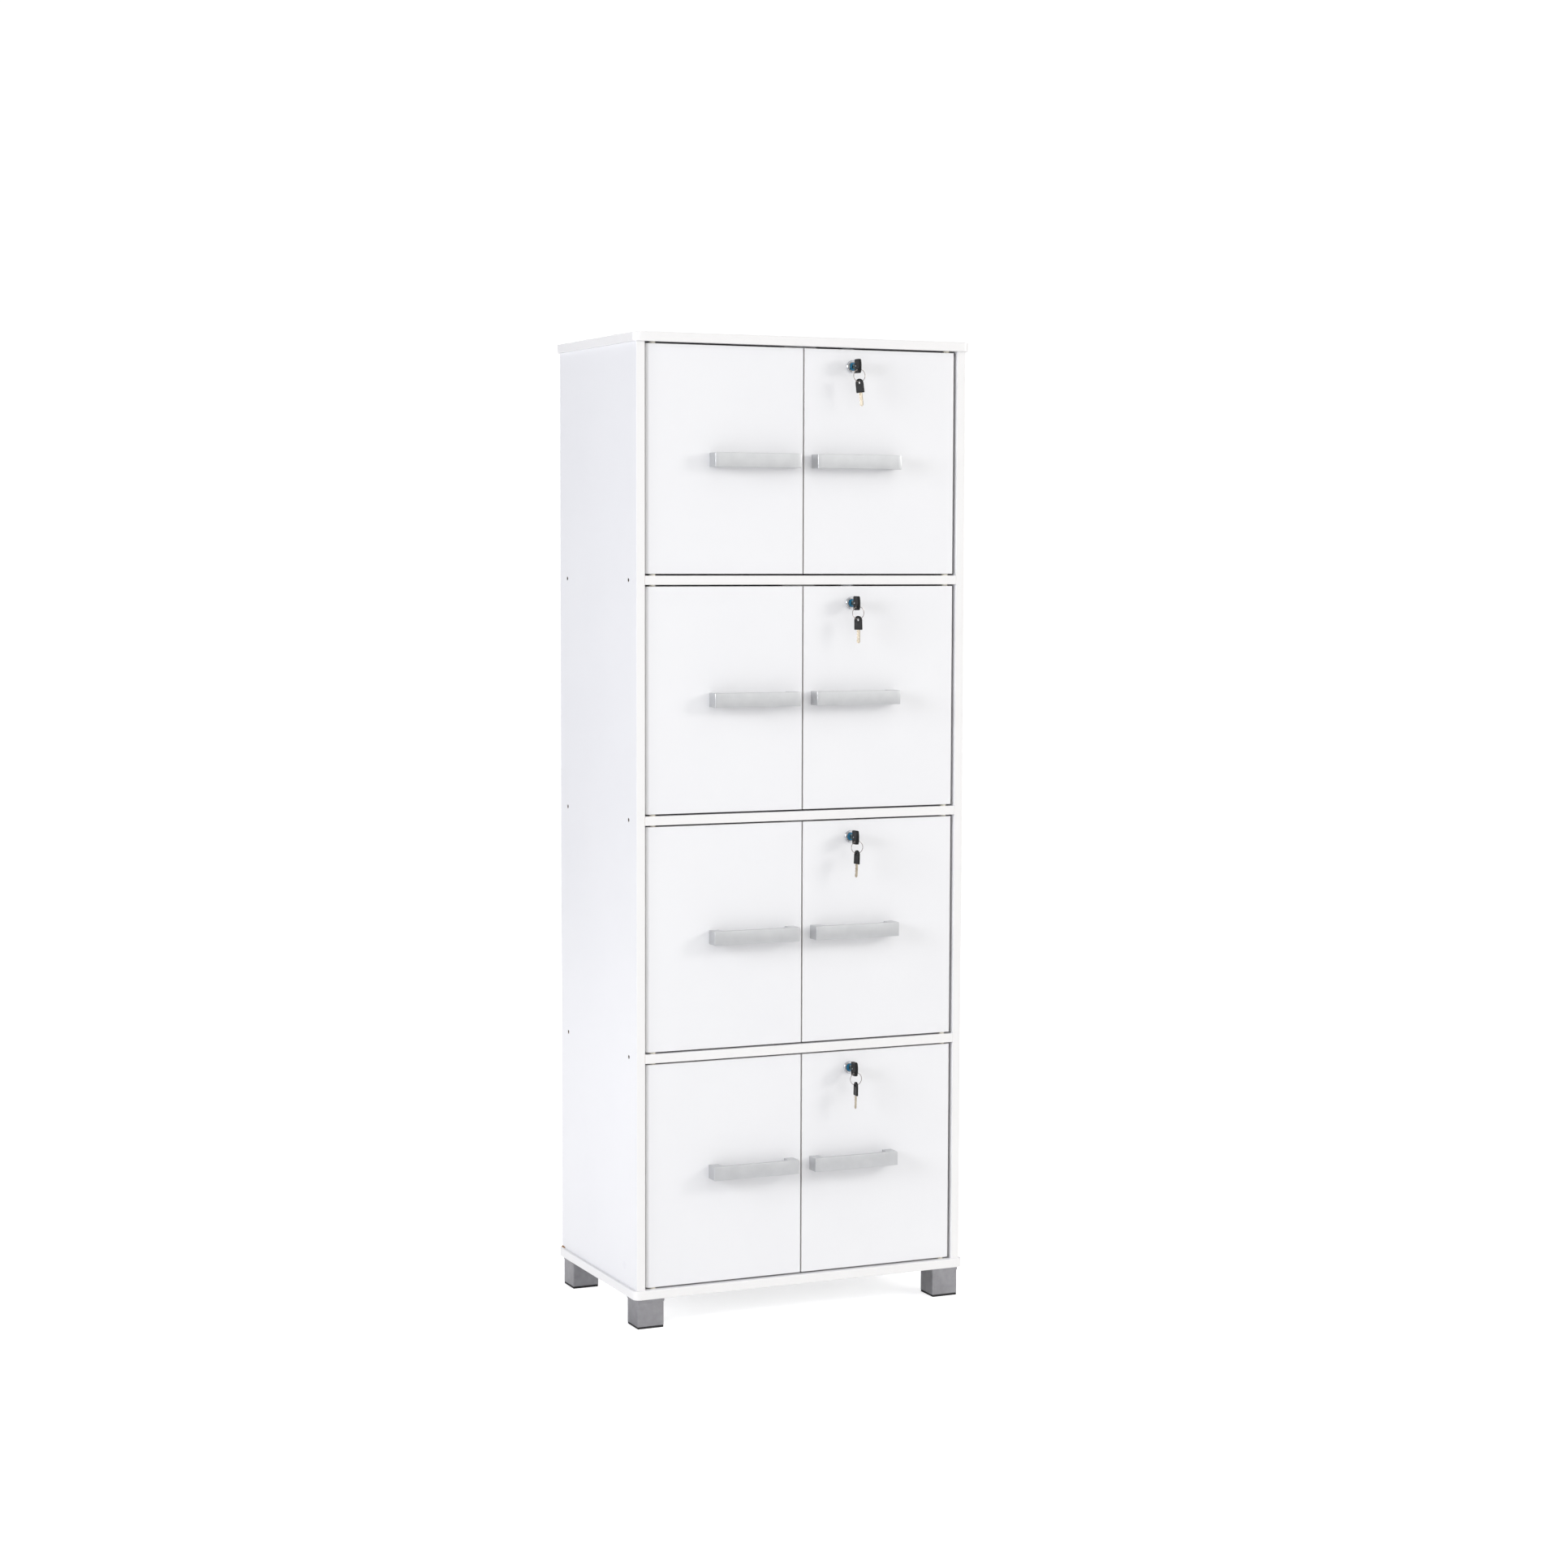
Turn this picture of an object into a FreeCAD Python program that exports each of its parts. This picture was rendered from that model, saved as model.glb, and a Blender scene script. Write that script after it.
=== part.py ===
import FreeCAD, Part
import math
import os

os.makedirs("parts", exist_ok=True)

# A free-standing cabinet of white melamine board, four lockable tiers high, two doors to a tier.
# Millimetres. +X is to the right seen from the front, +Y to the back, +Z up. The origin is on
# the floor, under the middle of the box that holds the whole object.

# Cabinet boards
CABINET_HEIGHT = 1750.0       # floor to the top of the top board
CABINET_WIDTH = 640.0         # over the outer faces of the side panels
PANEL_DEPTH = 380.0           # front to back of the side panels
BOARD = 16.0                  # thickness of every board, doors too
TIERS = 4
OVERHANG = 6.0                # top and bottom board beyond the side panels, all round
CORNER_RADIUS = 12.0          # upright corners of the top and bottom board
BOARD_EDGE_RADIUS = 1.0
FRONT_EDGE_RADIUS = 0.8

# Back panel, which slides in grooves
BACK_THICKNESS = 3.0
BACK_INSET = 8.0              # from the side panels' back edges
GROOVE_DEPTH = 6.0
GROOVE_WIDTH_PLAY = 0.4
GROOVE_END_PLAY = 1.0

# Feet
FOOT_SIZE = 50.0
FOOT_HEIGHT = 50.0
FOOT_WALL = 2.5
FOOT_WEB = 4.0                # the closed top that the screws hold
FOOT_LIP = 1.5
FOOT_LIP_HEIGHT = 6.5
FOOT_INSET = 7.0              # from the bottom board's edges to the lip
FOOT_CORNER_RADIUS = 2.0
PAD_THICKNESS = 4.0
PAD_PLUG_HEIGHT = 6.0
PAD_PLUG_PLAY = 0.2
FOOT_SCREW_OFFSET = 12.0      # from the foot's centre, each way

# Doors
SIDE_GAP = 4.0
CENTRE_GAP = 3.0
DOOR_GAP = 3.0                # above and below each door
DOOR_RECESS = 3.5             # door fronts behind the side panels' front edges
HINGE_EDGE_RADIUS = 5.0
PIVOT_INSET = 14.0            # pivot axis from the door's hinge edge

# Pivot pins and their flanged bushes
PIN_RADIUS = 2.5
PIN_CLEARANCE = 0.05
PIN_IN_DOOR = 20.0
PIN_END_PLAY = 0.5
BUSH_WALL = 2.45
BUSH_WEB = 2.0                # board left between the bushes above and below a shelf
BUSH_FLANGE = 0.75            # flange radius beyond the bush
BUSH_FLOOR = 1.0
BUSH_DOOR_PLAY = 0.4

# Bow handles
HANDLE_LENGTH = 165.0
HANDLE_HEIGHT = 25.0
HANDLE_PROJECTION = 27.0
HANDLE_LEG = 18.0
HANDLE_BAR = 8.0
HANDLE_INNER_RADIUS = 7.0
HANDLE_EDGE_RADIUS = 0.6
HANDLE_FROM_CENTRE = 16.0     # inner end from the cabinet's centreline
HANDLE_SCREW_RADIUS = 2.0
HANDLE_SCREW_BITE = 14.0
HANDLE_SCREW_HEAD_RADIUS = 4.2
HANDLE_SCREW_HEAD = 2.4

# Cam locks
LOCK_FROM_CENTRE = 95.0
LOCK_BELOW_DOOR_TOP = 30.0
PLUG_RADIUS = 7.95
PLUG_CLEARANCE = 0.05
BARREL_WALL = 1.4
BARREL_BEHIND_DOOR = 5.0
ROSETTE_LIP = 2.1             # rosette's edge beyond the barrel
ROSETTE_THICKNESS = 3.0
ROSETTE_EDGE_RADIUS = 1.4
PLUG_FACE_RECESS = 0.6
PLUG_BEHIND_BARREL = 0.5
NUT_WALL = 2.6                # from the barrel to a flat
NUT_THICKNESS = 4.0
KEYWAY_CLEARANCE = 0.3
KEYWAY_DEPTH = 18.0
TAIL_SIZE = 7.0
CAM_LENGTH = 29.0             # lock axis to the cam's tip
CAM_WIDTH = 12.0
CAM_THICKNESS = 2.0
CAM_HUB_RADIUS = 9.0
CAM_SCREW_RADIUS = 1.75
CAM_SCREW_HEAD_RADIUS = 4.2
CAM_SCREW_HEAD = 2.0
CAM_SCREW_BITE = 3.5

# Angle strikes under the board above each lock
STRIKE_PLATE = 1.5
STRIKE_WIDTH = 24.0
STRIKE_DROP = 14.0
STRIKE_REACH = 15.0
STRIKE_TO_CAM = 0.5
STRIKE_SCREW_SPREAD = 7.0

# Magnetic catches and the plates that they hold
CATCH_WIDTH = 64.0
CATCH_HEIGHT = 14.0
CATCH_DEPTH = 18.0
CATCH_TO_PLATE = 0.4
MAGNET_FROM_CENTRE = 13.5     # from the door's free edge
MAGNET_WIDTH = 14.0
MAGNET_HEIGHT = 8.0
MAGNET_DEPTH = 10.0
PLATE_WIDTH = 20.0
PLATE_HEIGHT = 10.0
PLATE_THICKNESS = 1.2
PLATE_BELOW_DOOR_TOP = 1.0
CATCH_SCREW_FROM_END = 5.5

# Wood screws for feet, strikes, catches and plates
SCREW_RADIUS = 1.6
SCREW_LENGTH = 12.0
SCREW_HEAD_RADIUS = 3.2
SCREW_HEAD = 1.8
SCREW_BORE_PLAY = 0.4

# Panel screws through the side panels into the shelf ends
PANEL_SCREW_LENGTH = 50.0
PANEL_SCREW_RADIUS = 2.6
PANEL_SCREW_HEAD_RADIUS = 3.5
PANEL_SCREW_HEAD = 3.0
PANEL_SCREW_SUNK = 0.6
PANEL_SCREW_SOCKET = 2.2
PANEL_SCREW_FROM_FRONT = 38.0
PANEL_SCREW_FROM_BACK = 36.0

# Board connectors between the side panels and the top and bottom board
CONNECTOR_FROM_EDGE = 60.0
CAM_DISC_RADIUS = 7.4
CAM_POCKET_PLAY = 0.1
CAM_PAST_BOLT = 1.3           # cam and pocket beyond the bolt's head, towards the outside
CAM_FROM_PANEL_END = 34.0
BOLT_RADIUS = 2.5
BOLT_BITE = 10.0
BOLT_HEAD_RADIUS = 3.2
BOLT_HEAD = 3.0
BOLT_HOLE_PLAY = 0.8
DOWEL_FROM_EDGE = 100.0
DOWEL_RADIUS = 4.0
DOWEL_IN_BOARD = 10.0
DOWEL_IN_PANEL = 20.0

# Keys: the one in the lock has its head folded across the blade
KEY_HEAD_LENGTH = 25.0
KEY_HEAD_DEPTH = 19.0
KEY_HEAD_THICKNESS = 5.4
KEY_HEAD_BULGE = 2.5
KEY_HEAD_FROM_DOOR = 13.0
KEY_HEAD_EDGE_RADIUS = 0.8
KEY_RING_HOLE_RADIUS = 1.6
KEY_RING_HOLE_FROM_FRONT = 3.4
KEY_RING_HOLE_DROP = 6.0      # below the lock axis
KEY_FOLD_PIN_RADIUS = 1.5
KEY_FOLD_PIN_FROM_BACK = 5.0
BLADE_WIDTH = 8.0
BLADE_THICKNESS = 2.0
BLADE_IN_PLUG = 17.0
BLADE_IN_HEAD = 8.0
BLADE_NOTCH = 1.6
BLADE_NOTCHES = 4

# Split rings and the spare keys that hang from them
RING_RADIUS = 11.2            # to the middle of the wire
RING_WIRE_RADIUS = 0.6
SPARE_HEAD_WIDTH = 16.0
SPARE_HEAD_LENGTH = 25.0
SPARE_HEAD_THICKNESS = 3.4
SPARE_HEAD_SHOULDER = 17.0    # height of the straight sides
SPARE_HOLE_RADIUS = 2.5
SPARE_HOLE_FROM_TOP = 6.9
SPARE_HOLE_DROP = 0.9         # hole centre below the ring's wire
SPARE_BLADE_LENGTH = 24.0
SPARE_BLADE_WIDTH = 6.5
SPARE_BLADE_IN_HEAD = 8.0
SPARE_TURN = (30.0, 30.0, 6.0, -5.0)   # degrees about the upright, tier by tier from the top
SPARE_TILT = (-7.0, -1.0, 2.0, 1.0)    # degrees about the line through the door

# Places that follow from the sizes above
X = FreeCAD.Vector(1, 0, 0)
Y = FreeCAD.Vector(0, 1, 0)
Z = FreeCAD.Vector(0, 0, 1)
LEFT, RIGHT = -1, 1

OUTER = CABINET_WIDTH / 2
INNER = OUTER - BOARD
KEY_REACH = KEY_HEAD_FROM_DOOR + KEY_HEAD_DEPTH
SPARE_TURN_RADIANS = [abs(math.radians(turn)) for turn in SPARE_TURN]
SPARE_HALF_DEPTH = max(SPARE_HEAD_WIDTH / 2 * math.cos(turn) + SPARE_HEAD_THICKNESS / 2 * math.sin(turn)
                       for turn in SPARE_TURN_RADIANS)
SPARE_REACH = KEY_REACH - KEY_RING_HOLE_FROM_FRONT + SPARE_HALF_DEPTH
FRONT_REACH = max(HANDLE_PROJECTION, KEY_REACH, SPARE_REACH, DOOR_RECESS + OVERHANG) - DOOR_RECESS
FRONT = (FRONT_REACH - PANEL_DEPTH - OVERHANG) / 2
BACK = FRONT + PANEL_DEPTH
BACK_PANEL_FRONT = BACK - BACK_INSET - BACK_THICKNESS
UNDERSIDE = PAD_THICKNESS + FOOT_HEIGHT
OPENING = (CABINET_HEIGHT - UNDERSIDE - (TIERS + 1) * BOARD) / TIERS

DOOR_FRONT = FRONT + DOOR_RECESS
DOOR_BACK = DOOR_FRONT + BOARD
DOOR_EDGE = INNER - SIDE_GAP
PIVOT_X = DOOR_EDGE - PIVOT_INSET
PIVOT_Y = DOOR_FRONT + BOARD / 2
BUSH_RADIUS = PIN_RADIUS + PIN_CLEARANCE + BUSH_WALL
BUSH_DEPTH = (BOARD - BUSH_WEB) / 2
HANDLE_SCREW_FROM_END = HANDLE_LEG / 2
CAM_SKIN = BOARD / 2 - BOLT_HEAD_RADIUS - CAM_PAST_BOLT
BARREL_RADIUS = PLUG_RADIUS + PLUG_CLEARANCE + BARREL_WALL
ROSETTE_RADIUS = BARREL_RADIUS + ROSETTE_LIP
NUT_ACROSS_FLATS = 2 * (BARREL_RADIUS + NUT_WALL)
CAM_FRONT = DOOR_BACK + BARREL_BEHIND_DOOR + PLUG_BEHIND_BARREL
STRIKE_FRONT = CAM_FRONT - STRIKE_TO_CAM - STRIKE_PLATE
STRIKE_SCREW_Y = STRIKE_FRONT + STRIKE_REACH - 1.5 * SCREW_HEAD_RADIUS
CATCH_FRONT = DOOR_BACK + PLATE_THICKNESS + CATCH_TO_PLATE
CATCH_SCREW_SEAT = SCREW_LENGTH / 3
CATCH_SCREW_X = CATCH_WIDTH / 2 - CATCH_SCREW_FROM_END
PLATE_CENTRE = CENTRE_GAP / 2 + MAGNET_FROM_CENTRE
RING_Y = DOOR_FRONT - KEY_REACH + KEY_RING_HOLE_FROM_FRONT


def board_level(number):
    """Lower face of a level board, counted up from the bottom board, which is 0."""
    return UNDERSIDE + number * (OPENING + BOARD)


def opening_bottom(tier):
    """Floor of a tier's compartment, with tier 1 at the top."""
    return board_level(TIERS - tier) + BOARD


def opening_top(tier):
    return board_level(TIERS + 1 - tier)


def lock_height(tier):
    return opening_top(tier) - DOOR_GAP - LOCK_BELOW_DOOR_TOP


def block(x_range, y_range, z_range):
    """A box between the two ends given along each axis, in either order."""
    low = [min(ends) for ends in (x_range, y_range, z_range)]
    high = [max(ends) for ends in (x_range, y_range, z_range)]
    size = [high[i] - low[i] for i in range(3)]
    return Part.makeBox(size[0], size[1], size[2], FreeCAD.Vector(*low))


def rod(radius, start, end):
    """A cylinder from one point to another."""
    start, end = FreeCAD.Vector(*start), FreeCAD.Vector(*end)
    return Part.makeCylinder(radius, (end - start).Length, start, end - start)


def runs_along(edge, axis):
    """True for a straight edge parallel to an axis."""
    if len(edge.Vertexes) != 2 or not isinstance(edge.Curve, Part.Line):
        return False
    return abs(abs(edge.Curve.Direction * axis) - 1) < 1e-6


def prism(points, thickness):
    """A plate from an outline of points, grown by a vector."""
    outline = Part.makePolygon([FreeCAD.Vector(*p) for p in points] + [FreeCAD.Vector(*points[0])])
    return Part.Face(outline).extrude(thickness)


def save(name, solids):
    """Write one sub-part: a single solid, or a group of separate ones."""
    shape = Part.makeCompound(solids) if len(solids) > 1 else solids[0]
    shape.exportStep("parts/" + name + ".step")


def wood_screw(x, y, z, drive):
    """A pan-head screw whose head seats at z, driven along a unit vector."""
    seat = FreeCAD.Vector(x, y, z)
    head = rod(SCREW_HEAD_RADIUS, seat - drive * SCREW_HEAD, seat)
    shank = rod(SCREW_RADIUS, seat, seat + drive * SCREW_LENGTH)
    return head.fuse(shank).removeSplitter()


def foot_centres():
    """Centre and inward directions of each foot."""
    across = OUTER + OVERHANG - FOOT_INSET - FOOT_LIP - FOOT_SIZE / 2
    inset = FOOT_INSET + FOOT_LIP + FOOT_SIZE / 2 - OVERHANG
    rows = ((FRONT + inset, 1), (BACK - inset, -1))
    return [(side * across, y, side, inward) for side in (LEFT, RIGHT) for y, inward in rows]


def foot_screws():
    """Two screws across each foot's diagonal, clear of the door bush above the foot."""
    seat = UNDERSIDE - FOOT_WEB
    screws = []
    for x, y, side, inward in foot_centres():
        for step in (-1, 1):
            place_x = x - side * step * FOOT_SCREW_OFFSET
            screws.append(wood_screw(place_x, y + inward * step * FOOT_SCREW_OFFSET, seat, Z))
    return screws


def strike_screws():
    screws = []
    for tier in range(1, TIERS + 1):
        seat = opening_top(tier) - STRIKE_PLATE
        for step in (-1, 1):
            x = LOCK_FROM_CENTRE + step * STRIKE_SCREW_SPREAD
            screws.append(wood_screw(x, STRIKE_SCREW_Y, seat, Z))
    return screws


def catch_screws():
    screws = []
    for tier in range(1, TIERS + 1):
        seat = opening_top(tier) - CATCH_SCREW_SEAT
        for side in (LEFT, RIGHT):
            x = side * CATCH_SCREW_X
            screws.append(wood_screw(x, CATCH_FRONT + CATCH_DEPTH / 2, seat, Z))
    return screws


def panel_screw_places():
    """Side, depth and height of each screw through a side panel into a shelf's end."""
    depths = (FRONT + PANEL_SCREW_FROM_FRONT, BACK - PANEL_SCREW_FROM_BACK)
    heights = [board_level(number) + BOARD / 2 for number in range(1, TIERS)]
    return [(side, y, z) for side in (LEFT, RIGHT) for z in heights for y in depths]


def panel_screw(side, y, z, outline_only=False):
    """A long screw with a socket in its sunk head; the outline alone cuts its hole."""
    head_top = OUTER - PANEL_SCREW_SUNK
    seat = head_top - PANEL_SCREW_HEAD
    top = OUTER if outline_only else head_top
    head = rod(PANEL_SCREW_HEAD_RADIUS, (side * seat, y, z), (side * top, y, z))
    shank = rod(PANEL_SCREW_RADIUS, (side * (head_top - PANEL_SCREW_LENGTH), y, z), (side * seat, y, z))
    screw = head.fuse(shank).removeSplitter()
    if outline_only:
        return screw
    angles = [math.radians(60 * k) for k in range(6)]
    socket = [(side * head_top, y + PANEL_SCREW_SOCKET * math.cos(a), z + PANEL_SCREW_SOCKET * math.sin(a))
              for a in angles]
    return screw.cut(prism(socket, X * (-side * PANEL_SCREW_HEAD * 0.7)))


def connector_places():
    """Side, depth, face of the level board and direction into the side panel."""
    depths = (FRONT + CONNECTOR_FROM_EDGE, BACK - CONNECTOR_FROM_EDGE)
    ends = ((board_level(0) + BOARD, 1), (board_level(TIERS), -1))
    return [(side, y, z, into) for side in (LEFT, RIGHT) for y in depths for z, into in ends]


def dowel_places():
    depths = (FRONT + DOWEL_FROM_EDGE, BACK - DOWEL_FROM_EDGE)
    ends = ((board_level(0) + BOARD, 1), (board_level(TIERS), -1))
    return [(side, y, z, into) for side in (LEFT, RIGHT) for y in depths for z, into in ends]


def connector_bolt(side, y, z, into):
    x = side * (OUTER - BOARD / 2)
    neck = z + into * (CAM_FROM_PANEL_END - BOLT_HEAD / 2)
    shaft = rod(BOLT_RADIUS, (x, y, z - into * BOLT_BITE), (x, y, neck))
    head = rod(BOLT_HEAD_RADIUS, (x, y, neck), (x, y, neck + into * BOLT_HEAD))
    return shaft.fuse(head).removeSplitter()


def connector_cam(side, y, z, into):
    """An eccentric disc, open towards the bolt, with a cross slot in its face."""
    x = side * (OUTER - BOARD / 2)
    centre = z + into * CAM_FROM_PANEL_END
    disc = rod(CAM_DISC_RADIUS, (side * INNER, y, centre), (side * (OUTER - CAM_SKIN), y, centre))
    past_head = centre + into * (BOLT_HEAD + BOLT_HOLE_PLAY)
    way_in = rod(BOLT_HEAD_RADIUS + BOLT_HOLE_PLAY / 2, (x, y, z), (x, y, past_head))
    slot_depth = (side * INNER, side * (INNER + 1.5))
    slots = [block(slot_depth, (y - a, y + a), (centre - b, centre + b)) for a, b in ((4, 0.6), (0.6, 4))]
    return disc.cut(way_in).cut(slots[0]).cut(slots[1])


def dowel(side, y, z, into):
    x = side * (OUTER - BOARD / 2)
    return rod(DOWEL_RADIUS, (x, y, z - into * DOWEL_IN_BOARD), (x, y, z + into * DOWEL_IN_PANEL))


def bush_places():
    """Side, board face and direction from the board into the gap, for every bush."""
    places = []
    for tier in range(1, TIERS + 1):
        for side in (LEFT, RIGHT):
            places.append((side, opening_bottom(tier), 1))
            places.append((side, opening_top(tier), -1))
    return places


def bush(side, face, out):
    """A flanged bush: body in the board, flange in the gap, blind bore for the pin."""
    x = side * PIVOT_X
    flange_end = face + out * (DOOR_GAP - BUSH_DOOR_PLAY)
    body = rod(BUSH_RADIUS, (x, PIVOT_Y, face - out * BUSH_DEPTH), (x, PIVOT_Y, face))
    flange = rod(BUSH_RADIUS + BUSH_FLANGE, (x, PIVOT_Y, face), (x, PIVOT_Y, flange_end))
    bore_end = face - out * (BUSH_DEPTH - BUSH_FLOOR)
    bore = rod(PIN_RADIUS + PIN_CLEARANCE, (x, PIVOT_Y, bore_end), (x, PIVOT_Y, flange_end))
    return body.fuse(flange).removeSplitter().cut(bore)


def bush_hole(side, face, out):
    x = side * PIVOT_X
    return rod(BUSH_RADIUS, (x, PIVOT_Y, face - out * BUSH_DEPTH), (x, PIVOT_Y, face))


def hardware_holes():
    """Everything that is let into the level boards and side panels."""
    holes = [bush_hole(*place) for place in bush_places()]
    holes += [panel_screw(*place, outline_only=True) for place in panel_screw_places()]
    holes += [dowel(*place) for place in dowel_places()]
    for side, y, z, into in connector_places():
        x = side * (OUTER - BOARD / 2)
        centre = z + into * CAM_FROM_PANEL_END
        pocket = CAM_DISC_RADIUS + CAM_POCKET_PLAY
        holes.append(rod(BOLT_RADIUS, (x, y, z - into * BOLT_BITE), (x, y, z)))
        holes.append(rod(BOLT_HEAD_RADIUS + BOLT_HOLE_PLAY / 2, (x, y, z), (x, y, centre)))
        holes.append(rod(pocket, (side * INNER, y, centre), (side * (OUTER - CAM_SKIN), y, centre)))
    return holes + foot_screws() + strike_screws() + catch_screws()


def cut_all(board, holes):
    """Cut only the holes whose box meets the board's box."""
    near = [hole for hole in holes if board.BoundBox.intersect(hole.BoundBox)]
    return board.cut(near).removeSplitter() if near else board


def level_board(number, holes):
    """Top or bottom board: proud of the side panels, with rounded corners and a groove inside."""
    low = board_level(number)
    edge = OUTER + OVERHANG
    slab = block((-edge, edge), (FRONT - OVERHANG, BACK + OVERHANG), (low, low + BOARD))
    slab = slab.makeFillet(CORNER_RADIUS, [e for e in slab.Edges if runs_along(e, Z)])
    slab = slab.makeFillet(BOARD_EDGE_RADIUS, [e for e in slab.Edges if not runs_along(e, Z)])
    face, inward = (low + BOARD, -1) if number == 0 else (low, 1)
    groove_y = (BACK_PANEL_FRONT - GROOVE_WIDTH_PLAY / 2,
                BACK_PANEL_FRONT + BACK_THICKNESS + GROOVE_WIDTH_PLAY / 2)
    groove_end = INNER + GROOVE_DEPTH
    slab = slab.cut(block((-groove_end, groove_end), groove_y, (face, face + inward * GROOVE_DEPTH)))
    return cut_all(slab, holes)


def side_panel(side, holes):
    """An upright board with its front edge eased and a groove for the back panel."""
    slab = block((side * INNER, side * OUTER), (FRONT, BACK), (board_level(0) + BOARD, board_level(TIERS)))
    front_edges = [e for e in slab.Edges if runs_along(e, Z) and abs(e.CenterOfMass.y - FRONT) < 1e-6]
    slab = slab.makeFillet(FRONT_EDGE_RADIUS, front_edges)
    groove_y = (BACK_PANEL_FRONT - GROOVE_WIDTH_PLAY / 2,
                BACK_PANEL_FRONT + BACK_THICKNESS + GROOVE_WIDTH_PLAY / 2)
    groove_z = (board_level(0) + BOARD, board_level(TIERS))
    slab = slab.cut(block((side * INNER, side * (INNER + GROOVE_DEPTH)), groove_y, groove_z))
    return cut_all(slab, holes)


def shelf(number, holes):
    low = board_level(number)
    back = BACK_PANEL_FRONT - GROOVE_WIDTH_PLAY
    slab = block((-INNER, INNER), (FRONT, back), (low, low + BOARD))
    front_edges = [e for e in slab.Edges if runs_along(e, X) and abs(e.CenterOfMass.y - FRONT) < 1e-6]
    return cut_all(slab.makeFillet(FRONT_EDGE_RADIUS, front_edges), holes)


def back_panel():
    reach = GROOVE_DEPTH - GROOVE_END_PLAY
    z_range = (board_level(0) + BOARD - reach, board_level(TIERS) + reach)
    y_range = (BACK_PANEL_FRONT, BACK_PANEL_FRONT + BACK_THICKNESS)
    return block((-INNER - reach, INNER + reach), y_range, z_range)


def square_block(x, y, half, low, high, radius):
    """An upright square block with rounded upright corners."""
    shape = block((x - half, x + half), (y - half, y + half), (low, high))
    return shape.makeFillet(radius, [e for e in shape.Edges if runs_along(e, Z)])


def foot(x, y):
    """A hollow square leg, open below, with a lip under the bottom board."""
    half = FOOT_SIZE / 2
    radius = FOOT_CORNER_RADIUS
    leg = square_block(x, y, half, PAD_THICKNESS, UNDERSIDE, radius)
    lip = square_block(x, y, half + FOOT_LIP, UNDERSIDE - FOOT_LIP_HEIGHT, UNDERSIDE, radius + FOOT_LIP)
    hollow = half - FOOT_WALL
    core = block((x - hollow, x + hollow), (y - hollow, y + hollow), (PAD_THICKNESS, UNDERSIDE - FOOT_WEB))
    return leg.fuse(lip).removeSplitter().cut(core)


def foot_pad(x, y):
    """A pad under the leg, with a plug that fills the leg's mouth."""
    plug = FOOT_SIZE / 2 - FOOT_WALL - PAD_PLUG_PLAY
    tread = square_block(x, y, FOOT_SIZE / 2, 0, PAD_THICKNESS, FOOT_CORNER_RADIUS)
    top = PAD_THICKNESS + PAD_PLUG_HEIGHT
    return tread.fuse(block((x - plug, x + plug), (y - plug, y + plug), (PAD_THICKNESS, top)))


def catch(tier):
    """A double magnetic catch: a housing with two pockets and a magnet in each."""
    top = opening_top(tier)
    half = CATCH_WIDTH / 2
    y_range = (CATCH_FRONT, CATCH_FRONT + CATCH_DEPTH)
    housing = block((-half, half), y_range, (top - CATCH_HEIGHT, top))
    front_edges = [e for e in housing.Edges if runs_along(e, Z)]
    housing = housing.makeFillet(2.0, front_edges)
    magnet_top = top - (CATCH_HEIGHT - MAGNET_HEIGHT) / 2
    magnets = []
    for side in (LEFT, RIGHT):
        centre = side * (CENTRE_GAP / 2 + MAGNET_FROM_CENTRE)
        x_range = (centre - MAGNET_WIDTH / 2, centre + MAGNET_WIDTH / 2)
        y_magnet = (CATCH_FRONT, CATCH_FRONT + MAGNET_DEPTH)
        magnet = block(x_range, y_magnet, (magnet_top - MAGNET_HEIGHT, magnet_top))
        housing = housing.cut(magnet)
        magnets.append(magnet)
        x, y = side * CATCH_SCREW_X, CATCH_FRONT + CATCH_DEPTH / 2
        seat = top - CATCH_SCREW_SEAT
        housing = housing.cut(rod(SCREW_HEAD_RADIUS + SCREW_BORE_PLAY, (x, y, top - CATCH_HEIGHT), (x, y, seat)))
        housing = housing.cut(rod(SCREW_RADIUS, (x, y, seat), (x, y, top)))
    return [housing] + magnets


def strike(tier):
    """A bent plate: one leg under the board, the other hanging in front of the turned cam."""
    top = opening_top(tier)
    half = STRIKE_WIDTH / 2
    x_range = (LOCK_FROM_CENTRE - half, LOCK_FROM_CENTRE + half)
    drop = block(x_range, (STRIKE_FRONT, STRIKE_FRONT + STRIKE_PLATE), (top - STRIKE_DROP, top))
    leg = block(x_range, (STRIKE_FRONT, STRIKE_FRONT + STRIKE_REACH), (top - STRIKE_PLATE, top))
    plate = drop.fuse(leg).removeSplitter()
    for step in (-1, 1):
        x = LOCK_FROM_CENTRE + step * STRIKE_SCREW_SPREAD
        plate = plate.cut(rod(SCREW_RADIUS, (x, STRIKE_SCREW_Y, top - STRIKE_PLATE), (x, STRIKE_SCREW_Y, top)))
    return plate


def door_limits(side, tier):
    x_range = (side * CENTRE_GAP / 2, side * DOOR_EDGE)
    return x_range, (opening_bottom(tier) + DOOR_GAP, opening_top(tier) - DOOR_GAP)


def handle_screw_places(side, tier):
    """Across and height of the two screws that hold a handle."""
    z_range = door_limits(side, tier)[1]
    height = (z_range[0] + z_range[1]) / 2
    ends = (HANDLE_SCREW_FROM_END, HANDLE_LENGTH - HANDLE_SCREW_FROM_END)
    return [(side * (HANDLE_FROM_CENTRE + end), height) for end in ends]


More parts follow.
